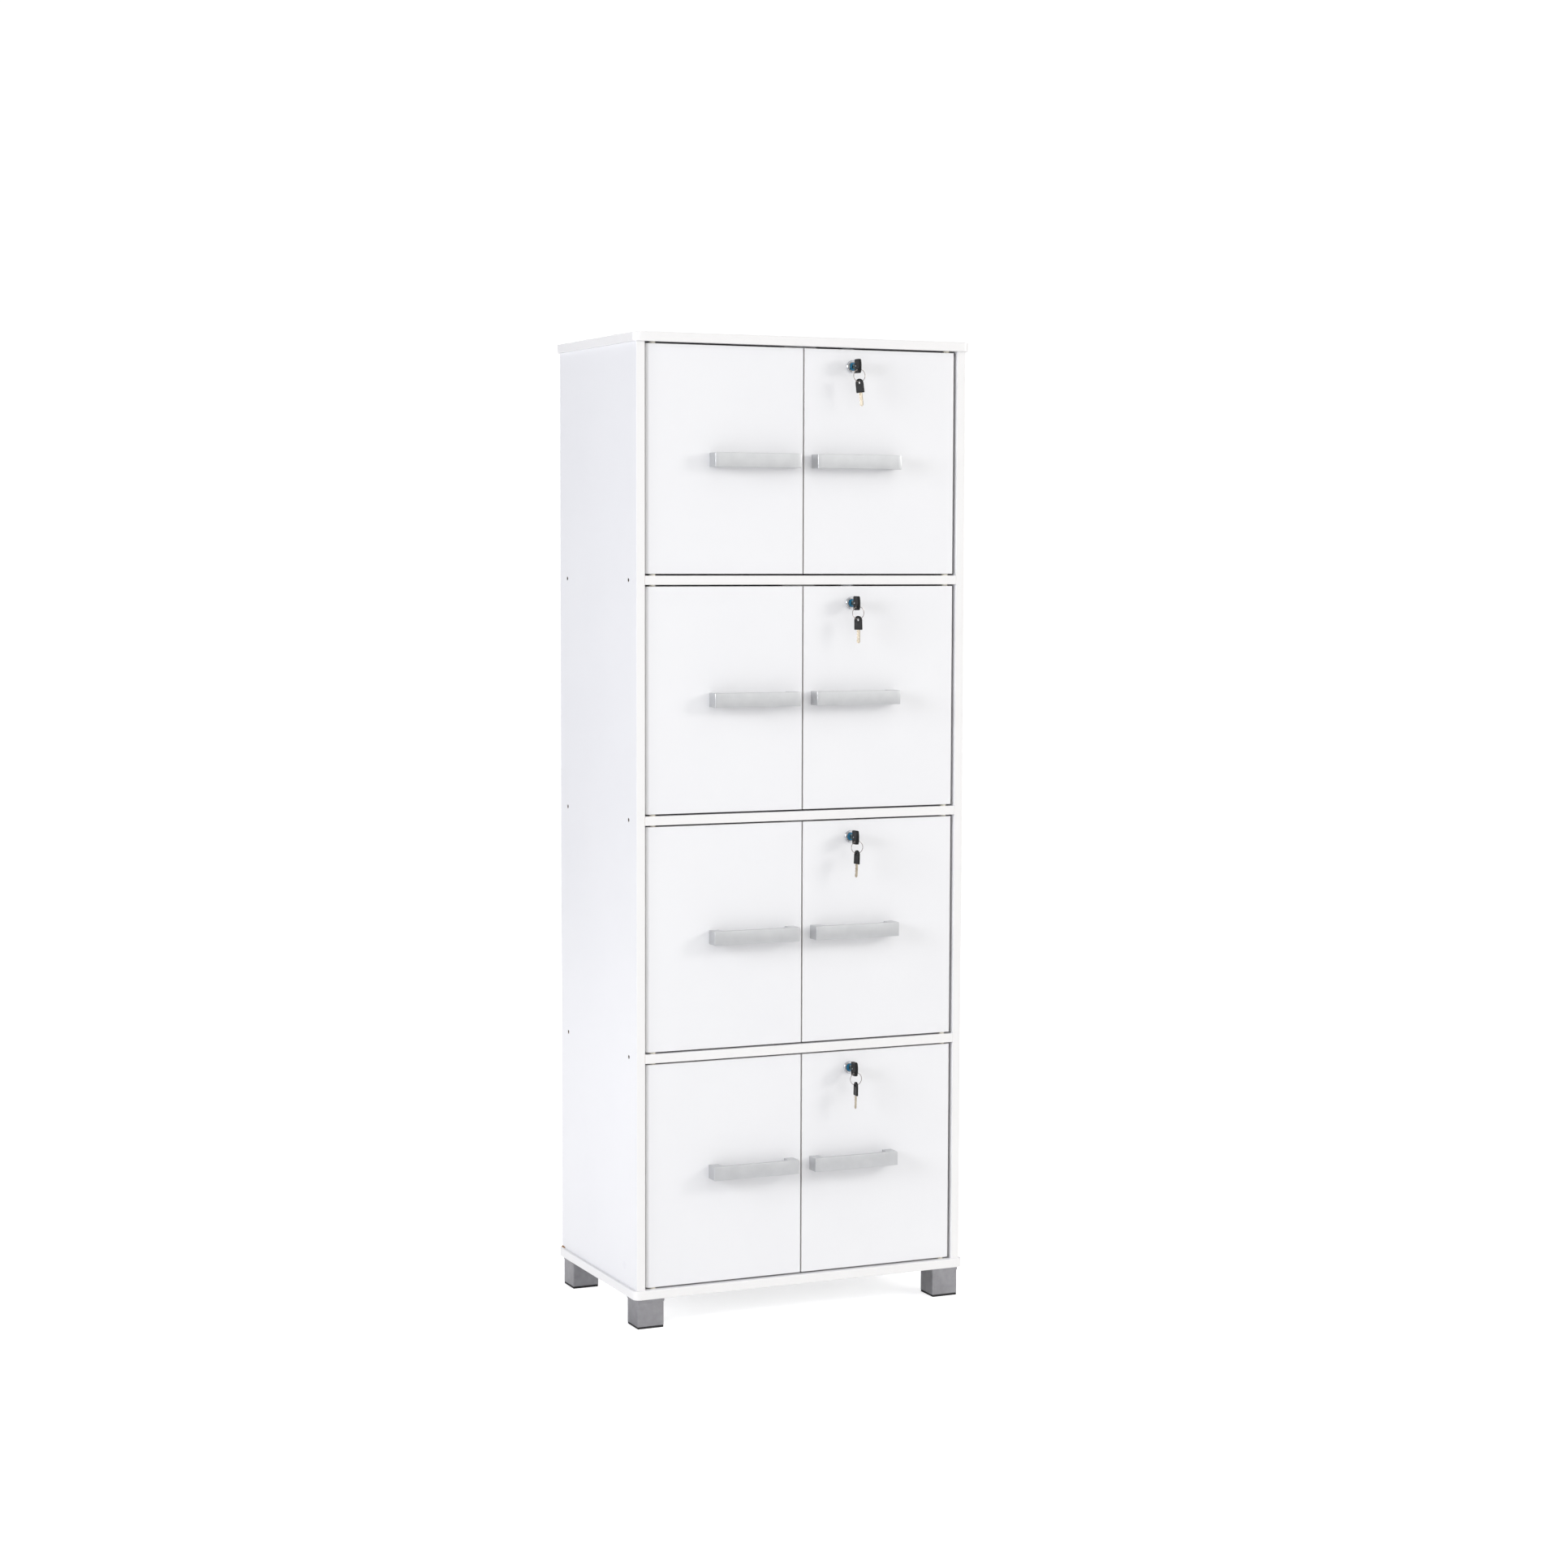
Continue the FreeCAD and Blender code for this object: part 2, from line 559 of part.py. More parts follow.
def pivot_pins(side, tier):
    """The two pins of a door, half in the door and half in the bushes."""
    pins = []
    z_range = door_limits(side, tier)[1]
    reach = DOOR_GAP + BUSH_DEPTH - BUSH_FLOOR - PIN_END_PLAY
    for edge, out in ((z_range[0], -1), (z_range[1], 1)):
        start = (side * PIVOT_X, PIVOT_Y, edge - out * PIN_IN_DOOR)
        pins.append(rod(PIN_RADIUS, start, (side * PIVOT_X, PIVOT_Y, edge + out * reach)))
    return pins


def plate_height(tier):
    """Middle of the strike plate on a door's back."""
    return opening_top(tier) - DOOR_GAP - PLATE_BELOW_DOOR_TOP - PLATE_HEIGHT / 2


def plate_screw(side, tier):
    seat = DOOR_BACK + PLATE_THICKNESS - SCREW_HEAD / 3
    x, z = side * PLATE_CENTRE, plate_height(tier)
    cone = Part.makeCone(SCREW_RADIUS, SCREW_HEAD_RADIUS, SCREW_HEAD / 3, FreeCAD.Vector(x, seat, z), Y)
    return cone.fuse(rod(SCREW_RADIUS, (x, seat - SCREW_LENGTH, z), (x, seat, z))).removeSplitter()


def door(side, tier):
    """A board with its hinge edge rounded in front, bored for pins, screws and the lock."""
    x_range, z_range = door_limits(side, tier)
    slab = block(x_range, (DOOR_FRONT, DOOR_BACK), z_range)
    uprights = [e for e in slab.Edges if runs_along(e, Z) and abs(e.CenterOfMass.y - DOOR_FRONT) < 1e-6]
    hinge_edge = [e for e in uprights if abs(e.CenterOfMass.x - x_range[1]) < 1e-6]
    slab = slab.makeFillet(HINGE_EDGE_RADIUS, hinge_edge)
    eased = [e for e in slab.Edges if abs(e.CenterOfMass.y - DOOR_FRONT) < 1e-6
             and not (runs_along(e, Z) and abs(e.CenterOfMass.x - x_range[0]) > 1.0)]
    slab = slab.makeFillet(FRONT_EDGE_RADIUS, eased)
    holes = pivot_pins(side, tier) + [plate_screw(side, tier)]
    for x, z in handle_screw_places(side, tier):
        holes.append(rod(HANDLE_SCREW_RADIUS, (x, DOOR_FRONT, z), (x, DOOR_BACK, z)))
    if side == RIGHT:
        x, z = LOCK_FROM_CENTRE, lock_height(tier)
        holes.append(rod(BARREL_RADIUS, (x, DOOR_FRONT, z), (x, DOOR_BACK, z)))
    return slab.cut(holes)


def handle(side, tier):
    """A square bow: a flat bar on two legs, with the gap between them rounded inside."""
    places = handle_screw_places(side, tier)
    height = places[0][1]
    z_range = (height - HANDLE_HEIGHT / 2, height + HANDLE_HEIGHT / 2)
    ends = (side * HANDLE_FROM_CENTRE, side * (HANDLE_FROM_CENTRE + HANDLE_LENGTH))
    face = DOOR_FRONT - HANDLE_PROJECTION
    bow = block(ends, (face, DOOR_FRONT), z_range)
    bow = bow.makeFillet(HANDLE_EDGE_RADIUS, [e for e in bow.Edges if e.CenterOfMass.y < DOOR_FRONT - 1e-6])
    gap_x = (ends[0] + side * HANDLE_LEG, ends[1] - side * HANDLE_LEG)
    gap = block(gap_x, (face + HANDLE_BAR, DOOR_FRONT + HANDLE_INNER_RADIUS), z_range)
    inner = [e for e in gap.Edges if runs_along(e, Z) and e.CenterOfMass.y < DOOR_FRONT]
    bow = bow.cut(gap.makeFillet(HANDLE_INNER_RADIUS, inner))
    for x, z in places:
        bow = bow.cut(rod(HANDLE_SCREW_RADIUS, (x, DOOR_FRONT - HANDLE_SCREW_BITE, z), (x, DOOR_FRONT, z)))
    return bow


def handle_screw(x, z):
    shank = rod(HANDLE_SCREW_RADIUS, (x, DOOR_FRONT - HANDLE_SCREW_BITE, z), (x, DOOR_BACK, z))
    head = rod(HANDLE_SCREW_HEAD_RADIUS, (x, DOOR_BACK, z), (x, DOOR_BACK + HANDLE_SCREW_HEAD, z))
    return shank.fuse(head).removeSplitter()


def fittings(side, tier):
    """Pivot pins, handle screws, and the strike plate with its screw."""
    screw = plate_screw(side, tier)
    x, z = side * PLATE_CENTRE, plate_height(tier)
    x_range = (x - PLATE_WIDTH / 2 + CENTRE_GAP / 2, x + PLATE_WIDTH / 2 - CENTRE_GAP / 2)
    z_range = (z - PLATE_HEIGHT / 2, z + PLATE_HEIGHT / 2)
    plate = block(x_range, (DOOR_BACK, DOOR_BACK + PLATE_THICKNESS), z_range).cut(screw)
    screws = [handle_screw(*place) for place in handle_screw_places(side, tier)]
    return pivot_pins(side, tier) + screws + [plate, screw]


def lock_body(tier):
    """Housing with a rosette in front of the door, and the nut that clamps it behind."""
    x, z = LOCK_FROM_CENTRE, lock_height(tier)
    face = DOOR_FRONT - ROSETTE_THICKNESS
    rosette = rod(ROSETTE_RADIUS, (x, face, z), (x, DOOR_FRONT, z))
    rosette = rosette.makeFillet(ROSETTE_EDGE_RADIUS, [e for e in rosette.Edges if e.BoundBox.YMax < face + 1e-6])
    barrel_end = DOOR_BACK + BARREL_BEHIND_DOOR
    barrel = rod(BARREL_RADIUS, (x, DOOR_FRONT, z), (x, barrel_end, z))
    bore = rod(PLUG_RADIUS + PLUG_CLEARANCE, (x, face, z), (x, barrel_end, z))
    corner = NUT_ACROSS_FLATS / math.sqrt(3)
    angles = [math.radians(60 * k) for k in range(6)]
    hexagon = [(x + corner * math.cos(a), DOOR_BACK, z + corner * math.sin(a)) for a in angles]
    nut = prism(hexagon, Y * NUT_THICKNESS)
    nut = nut.cut(rod(BARREL_RADIUS, (x, DOOR_BACK, z), (x, DOOR_BACK + NUT_THICKNESS, z)))
    return [rosette.fuse(barrel).removeSplitter().cut(bore), nut]


def lock_plug(tier):
    """The turning plug: a keyway in its face and a square tail for the cam."""
    x, z = LOCK_FROM_CENTRE, lock_height(tier)
    face = DOOR_FRONT - ROSETTE_THICKNESS + PLUG_FACE_RECESS
    plug = rod(PLUG_RADIUS, (x, face, z), (x, CAM_FRONT, z))
    half = TAIL_SIZE / 2
    tail = block((x - half, x + half), (CAM_FRONT, CAM_FRONT + CAM_THICKNESS), (z - half, z + half))
    a = BLADE_THICKNESS / 2 + KEYWAY_CLEARANCE
    b = BLADE_WIDTH / 2 + KEYWAY_CLEARANCE
    keyway = block((x - a, x + a), (face, face + KEYWAY_DEPTH), (z - b, z + b))
    thread_start = CAM_FRONT + CAM_THICKNESS - CAM_SCREW_BITE
    thread = rod(CAM_SCREW_RADIUS, (x, thread_start, z), (x, CAM_FRONT + CAM_THICKNESS, z))
    return plug.fuse(tail).removeSplitter().cut(keyway).cut(thread)


def lock_cam(tier):
    """The cam on the tail, pointing to the middle of the cabinet when unlocked, and its screw."""
    x, z = LOCK_FROM_CENTRE, lock_height(tier)
    back = CAM_FRONT + CAM_THICKNESS
    hub = rod(CAM_HUB_RADIUS, (x, CAM_FRONT, z), (x, back, z))
    arm = block((x - CAM_LENGTH, x), (CAM_FRONT, back), (z - CAM_WIDTH / 2, z + CAM_WIDTH / 2))
    tip = [e for e in arm.Edges if runs_along(e, Y) and e.CenterOfMass.x < x - 1]
    half = TAIL_SIZE / 2
    square = block((x - half, x + half), (CAM_FRONT, back), (z - half, z + half))
    cam = hub.fuse(arm.makeFillet(CAM_WIDTH / 4, tip)).removeSplitter().cut(square)
    head = rod(CAM_SCREW_HEAD_RADIUS, (x, back, z), (x, back + CAM_SCREW_HEAD, z))
    shank = rod(CAM_SCREW_RADIUS, (x, back - CAM_SCREW_BITE, z), (x, back, z))
    return [cam, head.fuse(shank).removeSplitter()]


def blade(length, width):
    """A flat key blade along +Y from the origin, with a pointed tip and cuts along one edge."""
    half = width / 2
    tip = half * 0.8
    outline = [(0, -half), (length - tip, -half), (length, -half * 0.2), (length - tip * 0.6, half)]
    pitch = (length - 2 * tip) / (BLADE_NOTCHES + 1)
    for cut in range(BLADE_NOTCHES, 0, -1):
        middle = tip + pitch * cut
        outline += [(middle + pitch / 3, half), (middle, half - BLADE_NOTCH), (middle - pitch / 3, half)]
    outline.append((0, half))
    points = [(-BLADE_THICKNESS / 2, y, z) for y, z in outline]
    return prism(points, X * BLADE_THICKNESS)


def key(tier):
    """The key in the lock: folded head, blade in the plug and the pin of the fold."""
    x, z = LOCK_FROM_CENTRE, lock_height(tier)
    back = DOOR_FRONT - KEY_HEAD_FROM_DOOR
    front = DOOR_FRONT - KEY_REACH
    low, high = z - KEY_HEAD_LENGTH / 2, z + KEY_HEAD_LENGTH / 2
    side = x - KEY_HEAD_THICKNESS / 2
    corners = [FreeCAD.Vector(side, y, h) for y, h in
               ((front + KEY_HEAD_BULGE, low), (back, low), (back, high), (front + KEY_HEAD_BULGE, high))]
    bulge = Part.Arc(corners[3], FreeCAD.Vector(side, front, z), corners[0]).toShape()
    straight = [Part.makeLine(corners[i], corners[i + 1]) for i in range(3)]
    head = Part.Face(Part.Wire(straight + [bulge])).extrude(X * KEY_HEAD_THICKNESS)
    faces_edges = [e for e in head.Edges if not runs_along(e, X)]
    head = head.makeFillet(KEY_HEAD_EDGE_RADIUS, faces_edges)
    right = x + KEY_HEAD_THICKNESS / 2
    hole_z = z - KEY_RING_HOLE_DROP
    head = head.cut(rod(KEY_RING_HOLE_RADIUS, (side, RING_Y, hole_z), (right, RING_Y, hole_z)))
    face = DOOR_FRONT - ROSETTE_THICKNESS + PLUG_FACE_RECESS
    blade_start = back - BLADE_IN_HEAD
    steel = blade(face + BLADE_IN_PLUG - blade_start, BLADE_WIDTH)
    steel.translate(FreeCAD.Vector(x, blade_start, z))
    pin_y = back - KEY_FOLD_PIN_FROM_BACK
    pin = rod(KEY_FOLD_PIN_RADIUS, (side, pin_y, z), (right, pin_y, z))
    return [head.cut(steel).cut(pin), steel.cut(pin), pin]


def spare_key(tier):
    """A ring through the key's head, and the spare key that hangs from it."""
    x, z = LOCK_FROM_CENTRE, lock_height(tier) - KEY_RING_HOLE_DROP
    centre = FreeCAD.Vector(x, RING_Y, z - RING_RADIUS)
    ring = Part.makeTorus(RING_RADIUS, RING_WIRE_RADIUS, centre, Y)
    low_wire = z - 2 * RING_RADIUS
    top = SPARE_HOLE_FROM_TOP - SPARE_HOLE_DROP
    foot_z = top - SPARE_HEAD_LENGTH
    shoulder = foot_z + SPARE_HEAD_SHOULDER
    half = SPARE_HEAD_WIDTH / 2
    side = -SPARE_HEAD_THICKNESS / 2
    sides = [FreeCAD.Vector(side, y, h) for y, h in
             ((-half, shoulder), (-half, foot_z), (half, foot_z), (half, shoulder))]
    lines = [Part.makeLine(sides[i], sides[i + 1]) for i in range(3)]
    arch_rise = top - shoulder
    lean = half * math.cos(math.pi / 4)
    haunch = shoulder + arch_rise * 0.75
    arches = [Part.Arc(sides[3], FreeCAD.Vector(side, lean, haunch), FreeCAD.Vector(side, 0, top)).toShape(),
              Part.Arc(FreeCAD.Vector(side, 0, top), FreeCAD.Vector(side, -lean, haunch), sides[0]).toShape()]
    head = Part.Face(Part.Wire(lines + arches)).extrude(X * SPARE_HEAD_THICKNESS)
    hole_z = -SPARE_HOLE_DROP
    head = head.cut(rod(SPARE_HOLE_RADIUS, (side, 0, hole_z), (-side, 0, hole_z)))
    steel = blade(SPARE_BLADE_LENGTH + SPARE_BLADE_IN_HEAD, SPARE_BLADE_WIDTH)
    steel.rotate(FreeCAD.Vector(0, 0, 0), X, -90)
    steel.translate(FreeCAD.Vector(0, 0, foot_z + SPARE_BLADE_IN_HEAD))
    pieces = [head.cut(steel), steel]
    for piece in pieces:
        piece.rotate(FreeCAD.Vector(0, 0, 0), Z, SPARE_TURN[tier - 1])
        piece.rotate(FreeCAD.Vector(0, 0, 0), Y, SPARE_TILT[tier - 1])
        piece.translate(FreeCAD.Vector(x, RING_Y, low_wire))
    return [ring] + pieces


# The carcass
HOLES = hardware_holes()
save("top_board", [level_board(TIERS, HOLES)])
save("bottom_board", [level_board(0, HOLES)])
save("left_side_panel", [side_panel(LEFT, HOLES)])
save("right_side_panel", [side_panel(RIGHT, HOLES)])
for number, shelf_name in enumerate(("lower_shelf", "middle_shelf", "upper_shelf"), start=1):
    save(shelf_name, [shelf(number, HOLES)])
save("back_panel", [back_panel()])
save("feet", [foot(x, y).cut(foot_screws()) for x, y, side, inward in foot_centres()])
save("foot_pads", [foot_pad(x, y) for x, y, side, inward in foot_centres()])
save("panel_screws", [panel_screw(*place) for place in panel_screw_places()])
CONNECTORS = [connector_bolt(*place) for place in connector_places()]
CONNECTORS += [connector_cam(*place) for place in connector_places()]
save("board_connectors", CONNECTORS + [dowel(*place) for place in dowel_places()])
save("wood_screws", foot_screws() + strike_screws() + catch_screws())
save("pivot_bushes", [bush(*place) for place in bush_places()])
save("magnetic_catches", [piece for tier in range(1, TIERS + 1) for piece in catch(tier)])
save("lock_strikes", [strike(tier) for tier in range(1, TIERS + 1)])

# The doors and what they carry, tier 1 at the top
for tier in range(1, TIERS + 1):
    for side, word in ((LEFT, "left"), (RIGHT, "right")):
        save(f"{word}_door_{tier}", [door(side, tier)])
        save(f"{word}_handle_{tier}", [handle(side, tier)])
        save(f"{word}_fittings_{tier}", fittings(side, tier))
    save(f"lock_body_{tier}", lock_body(tier))
    save(f"lock_plug_{tier}", [lock_plug(tier)])
    save(f"lock_cam_{tier}", lock_cam(tier))
    save(f"key_{tier}", key(tier))
    save(f"spare_key_{tier}", spare_key(tier))
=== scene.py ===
import math

import bpy
import numpy as np
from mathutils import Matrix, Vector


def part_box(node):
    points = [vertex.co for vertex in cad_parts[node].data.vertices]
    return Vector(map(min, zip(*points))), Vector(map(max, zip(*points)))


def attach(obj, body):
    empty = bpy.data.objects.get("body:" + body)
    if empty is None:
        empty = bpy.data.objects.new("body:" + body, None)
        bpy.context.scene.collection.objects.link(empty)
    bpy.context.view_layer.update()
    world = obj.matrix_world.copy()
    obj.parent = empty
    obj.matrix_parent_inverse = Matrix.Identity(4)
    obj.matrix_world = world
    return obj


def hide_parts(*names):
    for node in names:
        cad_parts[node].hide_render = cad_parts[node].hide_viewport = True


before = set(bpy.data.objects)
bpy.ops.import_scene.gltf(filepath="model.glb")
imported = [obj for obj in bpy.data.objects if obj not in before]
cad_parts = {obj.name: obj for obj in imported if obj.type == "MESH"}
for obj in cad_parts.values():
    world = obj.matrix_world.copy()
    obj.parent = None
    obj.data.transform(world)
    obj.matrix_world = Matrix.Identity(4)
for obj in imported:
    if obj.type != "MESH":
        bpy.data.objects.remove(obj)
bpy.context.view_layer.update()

# -----------------------------------------------------------------------------
# The carcass boards: 16 mm particle board under white melamine, sawn to size and closed with a
# glued edge band. The top and bottom boards stand proud of the side panels on all four sides.
# The face is a cool white with a fine pearl, and the band is a slightly warmer white.

MM = 0.001
SHELVES = ("upper_shelf", "middle_shelf", "lower_shelf")


def corners(node):
    """A CAD node's lowest and highest corner in millimetres, to a thousandth."""
    return np.round([[value / MM for value in corner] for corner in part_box(node)], 3)


def paint(red, green, blue):
    """A colour from its three display values: each is divided by 255 and taken to linear light."""
    share = np.array([red, green, blue]) / 255
    linear = np.where(share <= 0.04045, share / 12.92, ((share + 0.055) / 1.055) ** 2.4)
    return (*[float(value) for value in linear], 1.0)


def put(tree, kind, inputs=None, **settings):
    """A node with its settings; each input is a plain value or the socket that feeds it."""
    node = tree.nodes.new(kind)
    for name, value in settings.items():
        setattr(node, name, value)
    for name, value in (inputs or {}).items():
        if isinstance(value, bpy.types.NodeSocket):
            tree.links.new(value, node.inputs[name])
        else:
            node.inputs[name].default_value = value
    return node


def effect(name, wanted, given):
    """An empty node group with float and vector inputs and float outputs, and its two end nodes."""
    group = bpy.data.node_groups.new(name, "ShaderNodeTree")
    for label, value in wanted.items():
        kind = "NodeSocketVector" if value is None else "NodeSocketFloat"
        socket = group.interface.new_socket(name=label, in_out="INPUT", socket_type=kind)
        if value is not None:
            socket.default_value = value
    for label in given:
        group.interface.new_socket(name=label, in_out="OUTPUT", socket_type="NodeSocketFloat")
    return group, group.nodes.new("NodeGroupInput"), group.nodes.new("NodeGroupOutput")


def place(tree, group, inputs):
    """One use of a node group in a material, with its own values."""
    return put(tree, "ShaderNodeGroup", inputs, node_tree=group)


# Pearl: a fine grain of bumps with a broad cloudiness under it, as pressed film or paint has.
PEARL, pearl_in, pearl_out = effect("pearl", {"Vector": None, "Grains": 900.0, "Clouds": 9.0},
                                    ("Height", "Cloud"))
pearl_fine = put(PEARL, "ShaderNodeTexNoise", {"Vector": pearl_in.outputs["Vector"],
                                               "Scale": pearl_in.outputs["Grains"],
                                               "Detail": 2.0, "Roughness": 0.55})
pearl_broad = put(PEARL, "ShaderNodeTexNoise", {"Vector": pearl_in.outputs["Vector"],
                                                "Scale": pearl_in.outputs["Clouds"],
                                                "Detail": 4.0, "Roughness": 0.5})
pearl_sum = put(PEARL, "ShaderNodeMath", {0: pearl_broad.outputs["Fac"], 1: 0.25,
                                           2: pearl_fine.outputs["Fac"]}, operation="MULTIPLY_ADD")
PEARL.links.new(pearl_sum.outputs[0], pearl_out.inputs["Height"])
PEARL.links.new(pearl_broad.outputs["Fac"], pearl_out.inputs["Cloud"])

# Handling: where hands and cloths have passed, in soft patches with short streaks between them.
HANDLING, hand_in, hand_out = effect("handling", {"Vector": None, "Size": 14.0, "Spread": 0.5},
                                     ("Mask",))
hand_warp = put(HANDLING, "ShaderNodeTexNoise", {"Vector": hand_in.outputs["Vector"],
                                                 "Scale": hand_in.outputs["Size"],
                                                 "Detail": 5.0, "Distortion": 1.2})
hand_low = put(HANDLING, "ShaderNodeMath", {0: 1.0, 1: hand_in.outputs["Spread"]},
               operation="SUBTRACT")
hand_range = put(HANDLING, "ShaderNodeMapRange", {"Value": hand_warp.outputs["Fac"],
                                                  "From Min": hand_low.outputs[0], "From Max": 0.85},
                 interpolation_type="SMOOTHSTEP")
HANDLING.links.new(hand_range.outputs["Result"], hand_out.inputs["Mask"])


def spot(tree, position, centre, size):
    """Distance from a point as a share of a size along each axis, both in millimetres."""
    middle, reach = ([value * MM for value in three] for three in (centre, size))
    away = put(tree, "ShaderNodeVectorMath", {0: position, 1: middle}, operation="SUBTRACT")
    scaled = put(tree, "ShaderNodeVectorMath", {0: away.outputs[0], 1: reach}, operation="DIVIDE")
    return put(tree, "ShaderNodeVectorMath", {0: scaled.outputs[0]}, operation="LENGTH").outputs["Value"]


def material(name):
    """A new material, its Principled shader and the object's own coordinates."""
    made = bpy.data.materials.new(name)
    made.use_nodes = True
    tree = made.node_tree
    shader = next(node for node in tree.nodes if node.type == "BSDF_PRINCIPLED")
    return made, tree, shader, put(tree, "ShaderNodeTexCoord").outputs["Object"]


def mixed(tree, share, low, high):
    """A colour between two others by a mask; each colour is plain or a socket."""
    node = put(tree, "ShaderNodeMix", {0: share, 6: low, 7: high}, data_type="RGBA")
    return node.outputs[2]


def ranged(tree, value, low, high, start=0.0, end=1.0):
    """A value carried from one range to another."""
    return put(tree, "ShaderNodeMapRange", {"Value": value, "From Min": start, "From Max": end,
                                            "To Min": low, "To Max": high}).outputs["Result"]


def relief(tree, shader, height, depth):
    """A bump of a depth in millimetres under the shader's normal."""
    bump = put(tree, "ShaderNodeBump", {"Height": height, "Distance": depth * MM})
    tree.links.new(bump.outputs["Normal"], shader.inputs["Normal"])


white_board, tree, shader, position = material("white_board")
pearl = place(tree, PEARL, {"Vector": position, "Grains": 1400.0, "Clouds": 5.0})
touch = place(tree, HANDLING, {"Vector": position, "Size": 7.0, "Spread": 0.42})
band = put(tree, "ShaderNodeAttribute", attribute_name="edge_band").outputs["Fac"]
core = put(tree, "ShaderNodeAttribute", attribute_name="sawn_end").outputs["Fac"]
face_colour = mixed(tree, pearl.outputs["Cloud"], paint(232, 232, 234), paint(237, 237, 238))
closed = mixed(tree, band, face_colour, paint(237, 236, 235))
# a chip at the left panel's lower back corner, and the round print over its lower front connector
left_face = corners("left_side_panel")[0][0]
chip_reach = spot(tree, position, (left_face, 198.0, 70.4), (3.0, 13.0, 2.4))
chip_noise = put(tree, "ShaderNodeTexNoise", {"Vector": position, "Scale": 900.0, "Detail": 3.0})
chip_ragged = put(tree, "ShaderNodeMath", {0: chip_reach, 1: chip_noise.outputs["Fac"]}, operation="ADD")
chip = ranged(tree, chip_ragged.outputs[0], 1.0, 0.0, 1.25, 1.45)
print_reach = spot(tree, position, (left_face, -116.4, 104.0), (4.0, 7.4, 7.4))
print_mark = ranged(tree, print_reach, 0.35, 0.0, 0.8, 1.1)
marked = mixed(tree, print_mark, closed, paint(224, 223, 228))
fibres = put(tree, "ShaderNodeTexVoronoi", {"Vector": position, "Scale": 420.0})
raw = mixed(tree, fibres.outputs["Distance"], paint(188, 150, 108), paint(120, 84, 54))
bare = put(tree, "ShaderNodeMath", {0: core, 1: chip}, operation="MAXIMUM").outputs[0]
tree.links.new(mixed(tree, bare, marked, raw), shader.inputs["Base Color"])
gloss = ranged(tree, touch.outputs["Mask"], 0.34, 0.27)
tree.links.new(put(tree, "ShaderNodeMix", {0: bare, 2: gloss, 3: 0.9}).outputs[0],
               shader.inputs["Roughness"])
relief(tree, shader, pearl.outputs["Height"], 0.012)


def mark_edges(node, thickness_axis, sawn_axis=None):
    """Two face attributes from the faces' normals: the band is where the normal leaves the
    thickness axis, and the sawn end is where it lies along the axis given for it."""
    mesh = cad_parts[node].data
    normals = np.empty(len(mesh.polygons) * 3)
    mesh.polygons.foreach_get("normal", normals)
    normals = np.abs(normals.reshape(-1, 3))
    bands = np.clip((0.985 - normals[:, thickness_axis]) / 0.2, 0, 1)
    sawn = np.zeros(len(normals)) if sawn_axis is None else (normals[:, sawn_axis] > 0.9) * 1.0
    for name, values in (("edge_band", bands), ("sawn_end", sawn)):
        mesh.attributes.new(name, "FLOAT", "FACE").data.foreach_set("value", values)


def cover(node, *materials):
    """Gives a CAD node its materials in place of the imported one."""
    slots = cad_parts[node].data.materials
    slots.clear()
    for one in materials:
        slots.append(one)


for name in ("top_board", "bottom_board"):
    mark_edges(name, 2)
    cover(name, white_board)
for name in SHELVES:
    mark_edges(name, 2, sawn_axis=0)
    cover(name, white_board)
for name in ("left_side_panel", "right_side_panel"):
    mark_edges(name, 0, sawn_axis=2)
    cover(name, white_board)

# -----------------------------------------------------------------------------
# The back panel: 3 mm hardboard, white lacquered, slid into grooves in the boards. The lacquer
# is thinner than the melamine, so a little of the fibre mat's texture stays in it.


def clouded(name, dark, light, roughness, grains, clouds, depth, touch_size=None, plain=None):
    """A painted, lacquered or moulded finish: the pearl's cloud leads from the dark colour to the
    light one and from the low roughness to the high one, and its height is the relief. With a
    touch size, the roughness follows the handling instead. Plain values go on their own sockets."""
    made, tree, shader, position = material(name)
    pearl = place(tree, PEARL, {"Vector": position, "Grains": grains, "Clouds": clouds})
    wear = pearl.outputs["Cloud"]
    if touch_size:
        wear = place(tree, HANDLING, {"Vector": position, "Size": touch_size}).outputs["Mask"]
    tree.links.new(mixed(tree, pearl.outputs["Cloud"], dark, light), shader.inputs["Base Color"])
    tree.links.new(ranged(tree, wear, *roughness), shader.inputs["Roughness"])
    relief(tree, shader, pearl.outputs["Height"], depth)
    for socket, value in (plain or {}).items():
        shader.inputs[socket].default_value = value
    return made


back_board = clouded("back_board", paint(232, 231, 230), paint(241, 240, 240), (0.42, 0.52),
                     520.0, 11.0, 0.05)
cover("back_panel", back_board)

# -----------------------------------------------------------------------------
# Four hollow square feet, moulded in one piece with a lip under the bottom board and painted
# satin silver-grey, each screwed up into the board, with a black pad plugged into its mouth.

FOOT_HALF = 25.0
FOOT_FROM_EDGE = 33.5                 # foot's centre from the bottom board's edges
base_low, base_high = corners("bottom_board")
FOOT_PLACES = [(x, y) for x in (base_low[0] + FOOT_FROM_EDGE, base_high[0] - FOOT_FROM_EDGE)
               for y in (base_low[1] + FOOT_FROM_EDGE, base_high[1] - FOOT_FROM_EDGE)]
